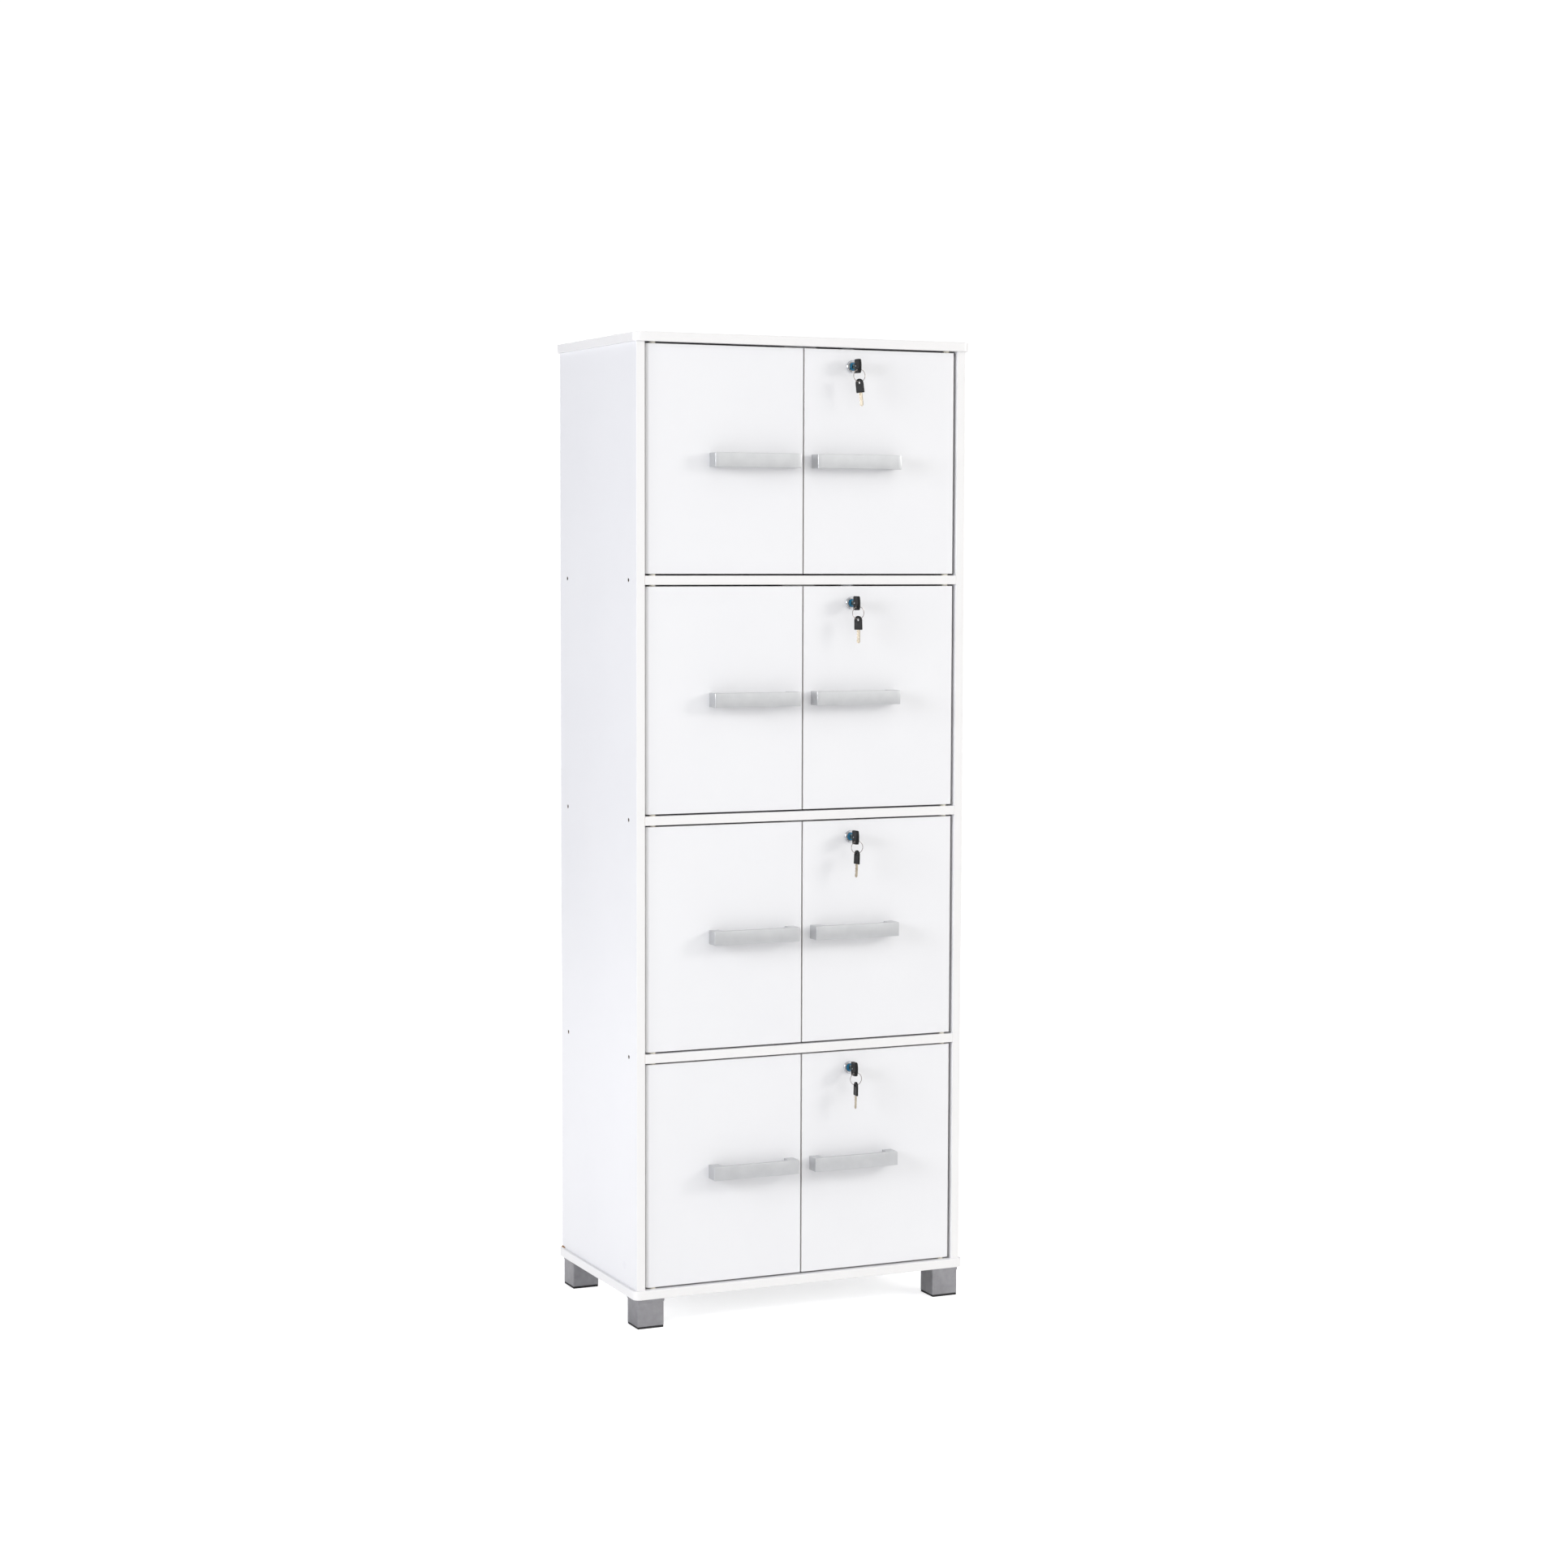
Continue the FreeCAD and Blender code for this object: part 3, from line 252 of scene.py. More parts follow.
# offset from the foot's flat side and height, down the outside and up the inside
FOOT_PROFILE = ((1.1, 54.0), (1.4, 53.9), (1.5, 53.6), (1.5, 48.2), (1.42, 47.8), (1.1, 47.55),
                (0.3, 47.5), (0.08, 47.35), (0.0, 47.0), (0.0, 5.0), (-0.06, 4.5), (-0.35, 4.1),
                (-0.6, 4.0), (-2.2, 4.0), (-2.5, 4.3), (-2.5, 49.5), (-3.0, 50.0))
PAD_PROFILE = ((-2.2, 10.0), (-2.7, 9.5), (-2.7, 4.02), (-0.9, 3.98), (-0.5, 3.7), (-0.35, 3.2),
               (-0.35, 0.9), (-0.6, 0.35), (-1.2, 0.0), (-4.0, 0.0))


def rounded_square(half, radius):
    """Points round a square with rounded corners: each corner is a quarter circle whose centre
    stands its radius in from both sides, and the straight sides join one corner to the next."""
    turn = np.radians(np.linspace(0, 90, 7))
    arcs = []
    for k, quadrant in enumerate(([1, 1], [-1, 1], [-1, -1], [1, -1])):
        angle = turn + k * math.pi / 2
        middle = (half - radius) * np.array(quadrant)
        arcs.append(middle + radius * np.stack([np.cos(angle), np.sin(angle)], axis=1))
    return np.concatenate(arcs)


def skin(rings, looped=False):
    """Points and faces of a tube of closed rings. Each ring's points join the next ring's as
    four-sided faces, and the ends close on their own middles or, if looped, on each other."""
    rings = np.asarray(rings, float)
    count, around = rings.shape[:2]
    index = np.arange(count * around).reshape(count, around)
    here = index if looped else index[:-1]
    there = np.roll(index, -1, axis=0) if looped else index[1:]
    quads = np.stack([here, np.roll(here, -1, 1), np.roll(there, -1, 1), there], axis=-1)
    points, faces = rings.reshape(-1, 3), quads.reshape(-1, 4).tolist()
    if looped:
        return points, faces
    poles = len(points) + np.arange(2)
    points = np.concatenate([points, [rings[0].mean(0), rings[-1].mean(0)]])
    first, last = index[0], index[-1]
    start = np.stack([np.full(around, poles[0]), np.roll(first, -1), first], axis=-1)
    end = np.stack([np.full(around, poles[1]), last, np.roll(last, -1)], axis=-1)
    return points, faces + start.tolist() + end.tolist()


def outward(points, faces):
    """The same shell with its faces outwards: the volume under all faces, summed with its sign,
    is positive only when they point out."""
    halves = np.array([f[:3] for f in faces] + [[f[0], f[2], f[3]] for f in faces if len(f) == 4])
    a, b, c = (points[halves[:, k]] - points.mean(0) for k in range(3))
    return faces if np.einsum("ij,ij->", a, np.cross(b, c)) > 0 else [face[::-1] for face in faces]


def piece(name, shells, finish, body, stands_for, crease=38.0):
    """One object from closed shells in millimetres, smooth except along edges sharper than the
    crease, riding on a body and standing for the CAD node it replaces."""
    points, faces, count = [], [], 0
    for shell_points, shell_faces in shells:
        turned = outward(shell_points, shell_faces)
        faces += [[corner + count for corner in face] for face in turned]
        points.append(shell_points)
        count += len(shell_points)
    mesh = bpy.data.meshes.new(name)
    mesh.from_pydata((np.concatenate(points) * MM).tolist(), [], faces)
    mesh.shade_smooth()
    mesh.set_sharp_from_angle(angle=math.radians(crease))
    mesh.materials.append(finish)
    made = bpy.data.objects.new(name, mesh)
    bpy.context.scene.collection.objects.link(made)
    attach(made, body)
    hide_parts(stands_for)


def square_shell(profile, x, y):
    """The profile carried round a foot's square: each step is a square ring grown by the offset,
    its corner radius grown with it, at the step's height."""
    rings = []
    for offset, height in profile:
        loop = rounded_square(FOOT_HALF + offset, max(2.0 + offset, 0.3))
        rings.append(np.column_stack([loop[:, 0] + x, loop[:, 1] + y, np.full(len(loop), height)]))
    return skin(rings)


foot_silver = clouded("foot_silver", paint(140, 139, 142), paint(172, 171, 174), (0.36, 0.5),
                      1700.0, 75.0, 0.03, touch_size=60.0, plain={"Metallic": 0.85})
piece("square_feet", [square_shell(FOOT_PROFILE, x, y) for x, y in FOOT_PLACES], foot_silver,
      "carcass", "feet")

pad_black = clouded("pad_black", paint(18, 18, 19), paint(38, 37, 37), (0.6, 0.78), 1200.0, 90.0, 0.06)
piece("black_foot_pads", [square_shell(PAD_PROFILE, x, y) for x, y in FOOT_PLACES], pad_black,
      "carcass", "foot_pads")

# -----------------------------------------------------------------------------
# Fixings in the boards: brown burnished screws through the side panels into the shelf ends, and
# zinc-plated eccentrics and bolts between the side panels and the top and bottom boards.

# Drawn: fine lines along one axis, as rolled, turned or brushed metal shows.
DRAWN, drawn_in, drawn_out = effect("drawn", {"Vector": None, "Stretch": None, "Lines": 400.0},
                                    ("Height", "Tone"))
drawn_along = put(DRAWN, "ShaderNodeVectorMath", {0: drawn_in.outputs["Vector"],
                                                  1: drawn_in.outputs["Stretch"]}, operation="MULTIPLY")
drawn_noise = put(DRAWN, "ShaderNodeTexNoise", {"Vector": drawn_along.outputs[0],
                                                "Scale": drawn_in.outputs["Lines"],
                                                "Detail": 3.0, "Roughness": 0.6})
drawn_cloud = put(DRAWN, "ShaderNodeTexNoise", {"Vector": drawn_in.outputs["Vector"],
                                                "Scale": 120.0, "Detail": 3.0})
drawn_tone = put(DRAWN, "ShaderNodeMath", {0: drawn_noise.outputs["Fac"],
                                           1: drawn_cloud.outputs["Fac"]}, operation="MULTIPLY")
DRAWN.links.new(drawn_noise.outputs["Fac"], drawn_out.inputs["Height"])
DRAWN.links.new(drawn_tone.outputs[0], drawn_out.inputs["Tone"])


def metal(name, dark, light, roughness, stretch=(1.0, 1.0, 1.0), lines=500.0, depth=0.01):
    """A bare or plated metal: its colour and roughness follow the drawn lines' tone."""
    made, tree, shader, position = material(name)
    drawn = place(tree, DRAWN, {"Vector": position, "Stretch": stretch, "Lines": lines})
    tone = ranged(tree, drawn.outputs["Tone"], 0.0, 1.0, 0.12, 0.42)
    tree.links.new(mixed(tree, tone, dark, light), shader.inputs["Base Color"])
    tree.links.new(ranged(tree, tone, roughness[1], roughness[0]), shader.inputs["Roughness"])
    shader.inputs["Metallic"].default_value = 1.0
    relief(tree, shader, drawn.outputs["Height"], depth)
    return made


brown_screw = metal("brown_screw", paint(58, 43, 31), paint(122, 94, 66), (0.35, 0.55))
zinc = metal("zinc", paint(150, 152, 156), paint(206, 208, 211), (0.28, 0.46), lines=900.0)
cover("panel_screws", brown_screw)
cover("board_connectors", zinc)

# -----------------------------------------------------------------------------
# Ivory nylon bushes, pressed into the boards above and below each door; the pivot pins turn in
# them, and their flanges show as short pale bars in the dark gaps.

nylon = clouded("ivory_nylon", paint(226, 216, 196), paint(242, 235, 220), (0.36, 0.5),
                800.0, 160.0, 0.02, plain={"Subsurface Weight": 0.1})
cover("pivot_bushes", nylon)

# -----------------------------------------------------------------------------
# Under the board above each pair of doors: a double magnetic catch in a white housing, which
# holds both doors, and an angle strike of bent zinc-plated steel behind which the cam turns.

catch_plastic = clouded("catch_plastic", paint(228, 228, 226), paint(240, 240, 239), (0.38, 0.5),
                        1000.0, 60.0, 0.03)
magnet = clouded("catch_magnet", paint(46, 45, 46), paint(78, 77, 79), (0.45, 0.65),
                 700.0, 200.0, 0.04, plain={"Metallic": 0.6})
DOOR_FRONT, DOOR_BACK = corners("left_door_1")[:, 1]
OPENING_TOPS = {tier: corners(board)[0][2] for tier, board in enumerate(("top_board", *SHELVES), 1)}
CATCH_FRONT = corners("magnetic_catches")[0][1]
MAGNET_X, MAGNET_DROP = 15.0, 7.0
MAGNET_REACH = np.array([6.99, 0.1, 3.99])     # from a magnet's middle to just within its edges
magnet_middles = [np.array([side * MAGNET_X, CATCH_FRONT, top - MAGNET_DROP])
                  for side in (-1, 1) for top in OPENING_TOPS.values()]


def second_material_in(node, boxes):
    """Gives a CAD node's faces the node's second material where their middles are in a box."""
    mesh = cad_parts[node].data
    middles = np.empty(len(mesh.polygons) * 3)
    mesh.polygons.foreach_get("center", middles)
    middles = middles.reshape(-1, 3) / MM
    inside = np.zeros(len(middles), bool)
    for low, high in boxes:
        inside |= np.all((middles >= low) & (middles <= high), axis=1)
    mesh.polygons.foreach_set("material_index", inside.astype(np.int32))
    mesh.update()


cover("magnetic_catches", catch_plastic, magnet)
second_material_in("magnetic_catches", [(at - MAGNET_REACH, at + MAGNET_REACH) for at in magnet_middles])
cover("lock_strikes", zinc)

# -----------------------------------------------------------------------------
# Small pan-head wood screws with a cross in the head, zinc-plated: two through the closed top of
# each foot, two through each catch and two through each strike, all driven upwards.

FOOT_SCREW_STEP, FOOT_CEILING = 12.0, 50.0
CATCH_SCREW_X, CATCH_SCREW_BACK, CATCH_FLANGE = 26.5, 9.0, 4.0
STRIKE_SCREW_X, STRIKE_SCREW_BACK, STRIKE_THICK = (88.0, 102.0), 13.7, 1.5
SCREW_SEATS = [(x + step * np.sign(x), y + step * np.sign(y), FOOT_CEILING)
               for x, y in FOOT_PLACES for step in (-FOOT_SCREW_STEP, FOOT_SCREW_STEP)]
SCREW_SEATS += [(x, CATCH_FRONT + CATCH_SCREW_BACK, top - CATCH_FLANGE)
                for top in OPENING_TOPS.values() for x in (-CATCH_SCREW_X, CATCH_SCREW_X)]
SCREW_SEATS += [(x, DOOR_BACK + STRIKE_SCREW_BACK, top - STRIKE_THICK)
                for top in OPENING_TOPS.values() for x in STRIKE_SCREW_X]


def crossed(profile, half_width, reach, depth):
    """A screw with a sunk cross, standing on its axis: rings of the profile's radii and heights
    run up the shank and round the head, then in over its face. The cross's arms keep one width,
    so on a ring an arm's half angle is the arcsine of half that width over the ring's radius; the
    points within it sink by the depth, less towards the arm's end. The innermost ring is all sunk."""
    top = profile[-1][1]
    inward = [(reach, top, 0), (reach * 0.94, top, 1), (reach * 0.7, top, 1),
              (half_width * 1.6, top, 1), (half_width * 0.9, top, 2)]
    radius, level, sunk = np.array([(r, h, 0) for r, h in profile] + inward).T[:, :, None]
    half = np.arcsin(np.minimum(half_width / radius, 0.62))
    arm, land = np.array([0, 0.5, 0.93, 1.0]), np.linspace(0, 1, 9)[1:-1]
    between = half + (math.pi / 2 - 2 * half) * land
    quarter = np.concatenate([half * arm, between, math.pi / 2 - half * arm[:0:-1]], axis=1)
    in_arm = np.concatenate([[1, 1, 1, 0], np.zeros(len(land)), [0, 1, 1]])
    angle = np.concatenate([quarter + k * math.pi / 2 for k in range(4)], axis=1)
    share = np.clip(sunk * np.tile(in_arm, 4) + (sunk > 1), 0, 1)
    drop = depth * share * (1 - 0.35 * (radius / reach) ** 2)
    return np.stack([radius * np.cos(angle), radius * np.sin(angle), level - drop], axis=-1)


WOOD_SCREW = crossed([(0.2, -12.0), (0.9, -10.0), (1.6, -8.5), (1.6, -0.05), (2.9, 0.0), (3.15, 0.15),
                      (3.2, 0.6), (3.05, 1.15), (2.6, 1.55), (2.2, 1.72)], 0.45, 1.9, 1.1)
piece("wood_screws_with_cross", [skin(WOOD_SCREW * [1, 1, -1] + seat) for seat in SCREW_SEATS], zinc,
      "carcass", "wood_screws", crease=30.0)

# -----------------------------------------------------------------------------
# Eight doors of the same white board, banded on all four edges, with plated pins, handle screws
# and a strike plate on each. The hinge edge is rounded so that it clears the side panel.

steel = metal("plated_steel", paint(140, 141, 144), paint(200, 201, 203), (0.22, 0.4), lines=700.0)
SIDES = {"left": -1, "right": 1}
ROUND = np.radians(np.arange(0, 360, 5.0))
OPENING_HEIGHT = OPENING_TOPS[1] - corners("upper_shelf")[1][2]
PIN_IN_BUSH, PIN_IN_DOOR = 5.5, 23.0
PIN_X, PIN_Y = 286.0, DOOR_FRONT + 8.0
PIN_END = ((2.0, 0.0), (2.4, 0.2), (2.5, 0.6))
PIN_STEPS = [*PIN_END, *((radius, PIN_IN_BUSH + PIN_IN_DOOR - along) for radius, along in PIN_END[::-1])]
PLATE_X, PLATE_DROP, PLATE_HALF = 15.0, 9.0, (8.5, 5.0)
HANDLE_SCREW_X = (25.0, 172.0)
HANDLE_SCREW = crossed([(1.2, -30.0), (2.0, -29.2), (2.0, -0.05), (3.9, 0.0), (4.15, 0.2), (4.2, 0.8),
                        (4.05, 1.4), (3.6, 1.95), (3.0, 2.3)], 0.6, 2.6, 1.5)
PLATE_SCREW = crossed([(0.2, -11.4), (0.9, -9.5), (1.6, -8.0), (1.6, 0.6), (3.1, 1.1), (2.9, 1.2)],
                      0.42, 1.8, 0.9)


def pin(steps, axis, point):
    """A pin along an axis through a point: a circle of each step's radius at its distance from
    the point, made as distance, cosine and sine, and rolled until the distance is on the axis."""
    rings = [np.column_stack([np.full(len(ROUND), along), radius * np.cos(ROUND), radius * np.sin(ROUND)])
             for radius, along in steps]
    return skin(np.roll(rings, axis, axis=-1) + point)


def upright_rings(steps, angles, x, front, height):
    """Rings that stand facing the door's front round one axis: each step is a radius, one for all
    angles or one for each, and the ring's depth behind the front."""
    return [np.column_stack([x + radius * np.cos(angles), np.full(len(angles), front + depth),
                             height + radius * np.sin(angles)]) for radius, depth in steps]


def polar_box(angles, half_across, half_up):
    """Distance from the middle of a box to its outline, by angle: the nearer of its two walls,
    each wall's distance over the cosine or the sine of the angle."""
    across = half_across / np.maximum(np.abs(np.cos(angles)), 1e-9)
    up = half_up / np.maximum(np.abs(np.sin(angles)), 1e-9)
    return np.minimum(across, up)


def angles_with_corners(*boxes):
    """Every fifth degree of a turn, and the angles of each box's four corners: that of the first,
    the arctangent of its height over its width, and its mirrors."""
    first = [math.atan2(half_up, half_across) for half_across, half_up in boxes]
    mirrored = [[angle, math.pi - angle, math.pi + angle, 2 * math.pi - angle] for angle in first]
    return np.unique(np.concatenate([ROUND, *mirrored]).round(9))


def strike_plate(x, height):
    """A thin oblong plate: its rings go from the screw's hole out to the outline over the face,
    round the eased edge and back, and each ring is a circle or the outline at its own depth."""
    outline = polar_box(PLATE_ANGLES, *PLATE_HALF)
    steps = [(3.2, 0.0), (3.2, 1.2), (outline - 0.6, 1.2), (outline - 0.35, 1.2), (outline - 0.1, 1.1),
             (outline, 0.85), (outline, 0.0)]
    return skin(upright_rings(steps, PLATE_ANGLES, x, DOOR_BACK, height), looped=True)


PLATE_ANGLES = angles_with_corners(PLATE_HALF)
HANDLE_HEIGHTS = {tier: corners(f"left_handle_{tier}")[:, 2].mean() for tier in OPENING_TOPS}
for tier, top in OPENING_TOPS.items():
    for side, sign in SIDES.items():
        door = f"{side}_door_{tier}"
        mark_edges(door, 1)
        cover(door, white_board)
        fitted = [skin(HANDLE_SCREW[:, :, [0, 2, 1]] + [sign * x, DOOR_BACK, HANDLE_HEIGHTS[tier]])
                  for x in HANDLE_SCREW_X]
        fitted += [skin(PLATE_SCREW[:, :, [0, 2, 1]] + [sign * PLATE_X, DOOR_BACK, top - PLATE_DROP])]
        fitted += [pin(PIN_STEPS, 2, [sign * PIN_X, PIN_Y, foot])
                   for foot in (top - OPENING_HEIGHT - PIN_IN_BUSH, top - PIN_IN_DOOR)]
        fitted += [strike_plate(sign * PLATE_X, top - PLATE_DROP)]
        piece(f"{side}_door_fittings_{tier}", fitted, steel, door, f"{side}_fittings_{tier}",
              crease=30.0)

# -----------------------------------------------------------------------------
# Eight bow handles: a square bar on two square legs, cast in one piece, the bow's inside corners
# rounded and its edges eased, painted satin silver and screwed on from behind the door.

HANDLE_ENDS = tuple(corners("right_handle_1")[:, 0])
HANDLE_FACE = corners("right_handle_1")[0][1]
HANDLE_LEG, HANDLE_BAR, HANDLE_HALF = 18.0, 8.0, 12.5
HANDLE_INNER, HANDLE_CORNER, HANDLE_EASE = 7.0, 1.0, 0.8


def bow_outlines():
    """Outer and inner line of one handle seen from above, paired point by point. Both run up the
    first leg, round the corner, along the bar and down the second leg; the outer corner is a
    small quarter circle and the inner one a large one."""
    low, high = HANDLE_ENDS
    turn = np.radians(np.linspace(0, 90, 9))
    deep = HANDLE_FACE + HANDLE_BAR + HANDLE_INNER
    across = low + HANDLE_LEG + HANDLE_INNER
    inner = np.column_stack([across - HANDLE_INNER * np.cos(turn), deep - HANDLE_INNER * np.sin(turn)])
    sweep = np.radians(np.array([0, 30, 60, 90]))
    corner = np.column_stack([low + HANDLE_CORNER * (1 - np.cos(sweep)),
                              HANDLE_FACE + HANDLE_CORNER * (1 - np.sin(sweep))])
    along_leg = [(low, DOOR_FRONT), (low, deep), (low, HANDLE_FACE + HANDLE_BAR)]
    along_bar = [(x, HANDLE_FACE) for x in (low + HANDLE_BAR, low + 2 * HANDLE_BAR, across)]
    outer = np.concatenate([along_leg, corner, along_bar])
    inner = np.concatenate([[(low + HANDLE_LEG, DOOR_FRONT)], inner])
    return [np.concatenate([half, [low + high, 0] + half[::-1] * [-1, 1]]) for half in (outer, inner)]


def bow(side, height):
    """A handle: at each step along the bow a ring goes from the outer line to the inner one and
    back, at the top and bottom height, with a quarter circle of the ease's radius at each corner."""
    outer, inner = bow_outlines()
    thick = np.linalg.norm(inner - outer, axis=1)
    turn = np.radians(np.linspace(0, 90, 4))
    step, rise = HANDLE_EASE * (1 - np.cos(turn)), HANDLE_HALF - HANDLE_EASE * (1 - np.sin(turn))
    share = np.concatenate([step[:, None] / thick, 1 - step[::-1, None] / thick,
                            1 - step[:, None] / thick, step[::-1, None] / thick])
    heights = np.concatenate([rise, rise[::-1], -rise, -rise[::-1]])
    flat = outer[:, None, :] + share.T[:, :, None] * (inner - outer)[:, None, :]
    lift = np.broadcast_to(heights + height, flat.shape[:2])
    return skin(np.stack([side * flat[:, :, 0], flat[:, :, 1], lift], axis=-1))


handle_silver = clouded("handle_silver", paint(196, 197, 199), paint(213, 214, 215), (0.34, 0.44),
                        2200.0, 45.0, 0.012, touch_size=28.0, plain={"Metallic": 0.92})
for tier, height in HANDLE_HEIGHTS.items():
    for side, sign in SIDES.items():
        piece(f"{side}_bow_handle_{tier}", [bow(sign, height)], handle_silver, f"{side}_door_{tier}",
              f"{side}_handle_{tier}", crease=50.0)

# -----------------------------------------------------------------------------
# Four cam locks, one in each right door: a chromed housing whose rosette covers the hole in
# front, its threaded barrel clamped behind the door by a hexagonal nut.

LOCK_X = corners("lock_body_1")[:, 0].mean()
LOCK_HEIGHTS = {tier: corners(f"lock_body_{tier}")[:, 2].mean() for tier in OPENING_TOPS}
# radius and depth behind the door's front: the rosette, the barrel with its thread and its bore
ROSETTE_PROFILE = [(8.0, -2.6), (8.1, -2.85), (8.35, -2.98), (8.7, -3.0), (9.1, -2.94), (9.25, -2.8),
                   (9.4, -2.72), (9.6, -2.82), (9.9, -2.86), (10.4, -2.72), (10.9, -2.35),
                   (11.25, -1.8), (11.45, -1.1), (11.5, -0.4), (11.45, 0.0), (9.4, 0.0), (9.4, 16.2)]
THREAD = [(9.4 - 0.45 * (k % 2), 16.5 + 0.4 * k) for k in range(11)]
BORE = [(8.9, 21.0), (8.0, 21.0), (8.0, 10.0)]
NUT_FLATS = 12.0
HEX_ANGLES = np.mod(ROUND + math.pi / 6, math.pi / 3) - math.pi / 6


def on_lock(steps, angles, height, looped=True):
    """A shell of upright rings round the lock's axis, their depths behind the door's front."""
    return skin(upright_rings(steps, angles, LOCK_X, DOOR_FRONT, height), looped)


def nut(height):
    """A hexagonal nut: its outline's radius is the flat's distance over the cosine of the angle
    from the nearest flat's middle, cut to a circle at the two faces, where the corners are turned."""
    flats = NUT_FLATS / np.cos(HEX_ANGLES)
    steps = [(9.42, 16.3), (9.8, 16.02), (np.minimum(flats, 12.3), 16.0),
             (np.minimum(flats, 13.1), 16.35), (flats, 16.9), (flats, 19.1),
             (np.minimum(flats, 13.1), 19.65), (np.minimum(flats, 12.3), 20.0), (9.8, 19.98), (9.42, 19.7)]
    return on_lock(steps, ROUND, height)


chrome = metal("chrome", paint(196, 198, 202), paint(222, 223, 226), (0.06, 0.12), depth=0.002)
for tier, height in LOCK_HEIGHTS.items():
    door = f"right_door_{tier}"
    piece(f"lock_housing_{tier}", [on_lock(ROSETTE_PROFILE + THREAD + BORE, ROUND, height)], chrome, door,
          f"lock_body_{tier}", crease=60.0)
    piece(f"lock_nut_{tier}", [nut(height)], zinc, door, f"lock_body_{tier}", crease=25.0)

# -----------------------------------------------------------------------------
# The plug that turns in each housing: a steel cylinder with a square tail for the cam, and on
# its front a blue glossy cap with one turned groove; the keyway is cut through both.

PLUG_FACE = -2.4
KEYWAY = (1.3, 4.3)
CAP_RADIUS = 6.9
TAIL = (3.45, 3.45)
PLUG_ANGLES = angles_with_corners(KEYWAY, TAIL)


def lock_cap(height):
    """The blue cap: from the keyway's edge over a turned groove to a rounded rim, and back."""
    keyway = polar_box(PLUG_ANGLES, *KEYWAY)
    face = [(3.9, 0.0), (4.1, 0.12), (4.5, 0.3), (5.0, 0.3), (5.35, 0.1), (5.6, 0.0), (6.3, 0.02),
            (6.7, 0.12), (CAP_RADIUS, 0.4), (CAP_RADIUS, 1.2)]
    steps = [(keyway, PLUG_FACE + 1.2), (keyway, PLUG_FACE + 0.2), (keyway + 0.18, PLUG_FACE)]
    steps += [(np.maximum(keyway + 0.2, radius), PLUG_FACE + drop) for radius, drop in face]
    return on_lock(steps, PLUG_ANGLES, height)


def plug_body(height):
    """The steel plug: the keyway's floor and walls, a front edge round the cap, the cylinder, the
    shoulder behind it and the square tail with the cam screw's hole."""
    keyway, tail = polar_box(PLUG_ANGLES, *KEYWAY), polar_box(PLUG_ANGLES, *TAIL)
    steps = [(keyway * 0.5, 15.6), (keyway, 15.6), (keyway, PLUG_FACE + 1.25)]
    steps += [(CAP_RADIUS, PLUG_FACE + 1.25), (CAP_RADIUS + 0.02, PLUG_FACE + 0.3), (7.1, PLUG_FACE + 0.1),
              (7.6, PLUG_FACE + 0.1), (7.85, PLUG_FACE + 0.25), (7.93, PLUG_FACE + 0.6), (7.93, 21.2)]
    steps += [(7.7, 21.48), (tail, 21.5), (tail, 23.3), (tail * 0.93, 23.5), (1.8, 23.5), (1.8, 19.9),
              (0.5, 19.8)]
    return on_lock(steps, PLUG_ANGLES, height, looped=False)


lock_blue = clouded("lock_blue", paint(0, 84, 122), paint(6, 122, 164), (0.16, 0.26),
                    1800.0, 260.0, 0.006, plain={"Coat Weight": 0.5, "Coat Roughness": 0.08})
for tier, height in LOCK_HEIGHTS.items():
    plug = f"lock_plug_{tier}"
    piece(f"lock_cap_{tier}", [lock_cap(height)], lock_blue, plug, plug)
    piece(f"lock_plug_body_{tier}", [plug_body(height)], steel, plug, plug)

# -----------------------------------------------------------------------------
# The cam behind each door: a zinc-plated steel blank with a round hub and a long tip, punched
# square to sit on the plug's tail and held there by a pan-head screw.

CAM_BACK, CAM_THICK = 23.5, 2.0
CAM_TIP, CAM_HALF, CAM_CORNER, CAM_HUB, CAM_HOLE_HALF = 29.0, 6.0, 3.0, 9.0, 3.5
CAM_ANGLES = np.unique(np.concatenate([ROUND, math.pi + np.linspace(-0.76, 0.76, 77)]).round(9))
CAM_SCREW = crossed([(1.2, -3.5), (1.75, -3.2), (1.75, -0.05), (3.95, 0.0), (4.15, 0.2), (4.2, 0.7),
                     (4.05, 1.25), (3.6, 1.7), (3.0, 1.98)], 0.6, 2.5, 1.3)


def cam_blank(height):
    """The blank: rings from the square hole to the outline over one face, and back over the other.
    By angle, the outline is the hub's circle or, within the tip's angles, a long box; its corners
    are circles, met where a ray from the lock's axis leaves the circle: the ray's share of the
    circle's centre plus the root of that share squared, less the centre's distance squared, plus
    the radius squared."""
    away = np.abs(CAM_ANGLES - math.pi)
    centre = np.array([CAM_TIP - CAM_CORNER, CAM_HALF - CAM_CORNER])
    share = centre[0] * np.cos(away) + centre[1] * np.sin(away)
    rounded = share + np.sqrt(np.maximum(share ** 2 - centre @ centre + CAM_CORNER ** 2, 0))
    box = polar_box(CAM_ANGLES, CAM_TIP, CAM_HALF)
    in_corner = (away > math.atan2(centre[1], CAM_TIP)) & (away < math.atan2(CAM_HALF, centre[0]))
    tip = np.where(in_corner, rounded, box)
    outline = np.where(away < math.asin(CAM_HALF / CAM_HUB), np.maximum(tip, CAM_HUB), CAM_HUB)
    hole = polar_box(CAM_ANGLES, CAM_HOLE_HALF, CAM_HOLE_HALF)
    face = [(hole, 0.0), (outline - 0.6, 0.0), (outline - 0.3, 0.0), (outline - 0.08, 0.08), (outline, 0.3)]
    steps = [(radius, CAM_BACK - drop) for radius, drop in face]
    steps += [(radius, CAM_BACK - CAM_THICK + drop) for radius, drop in face[::-1]]
    return on_lock(steps, CAM_ANGLES, height)


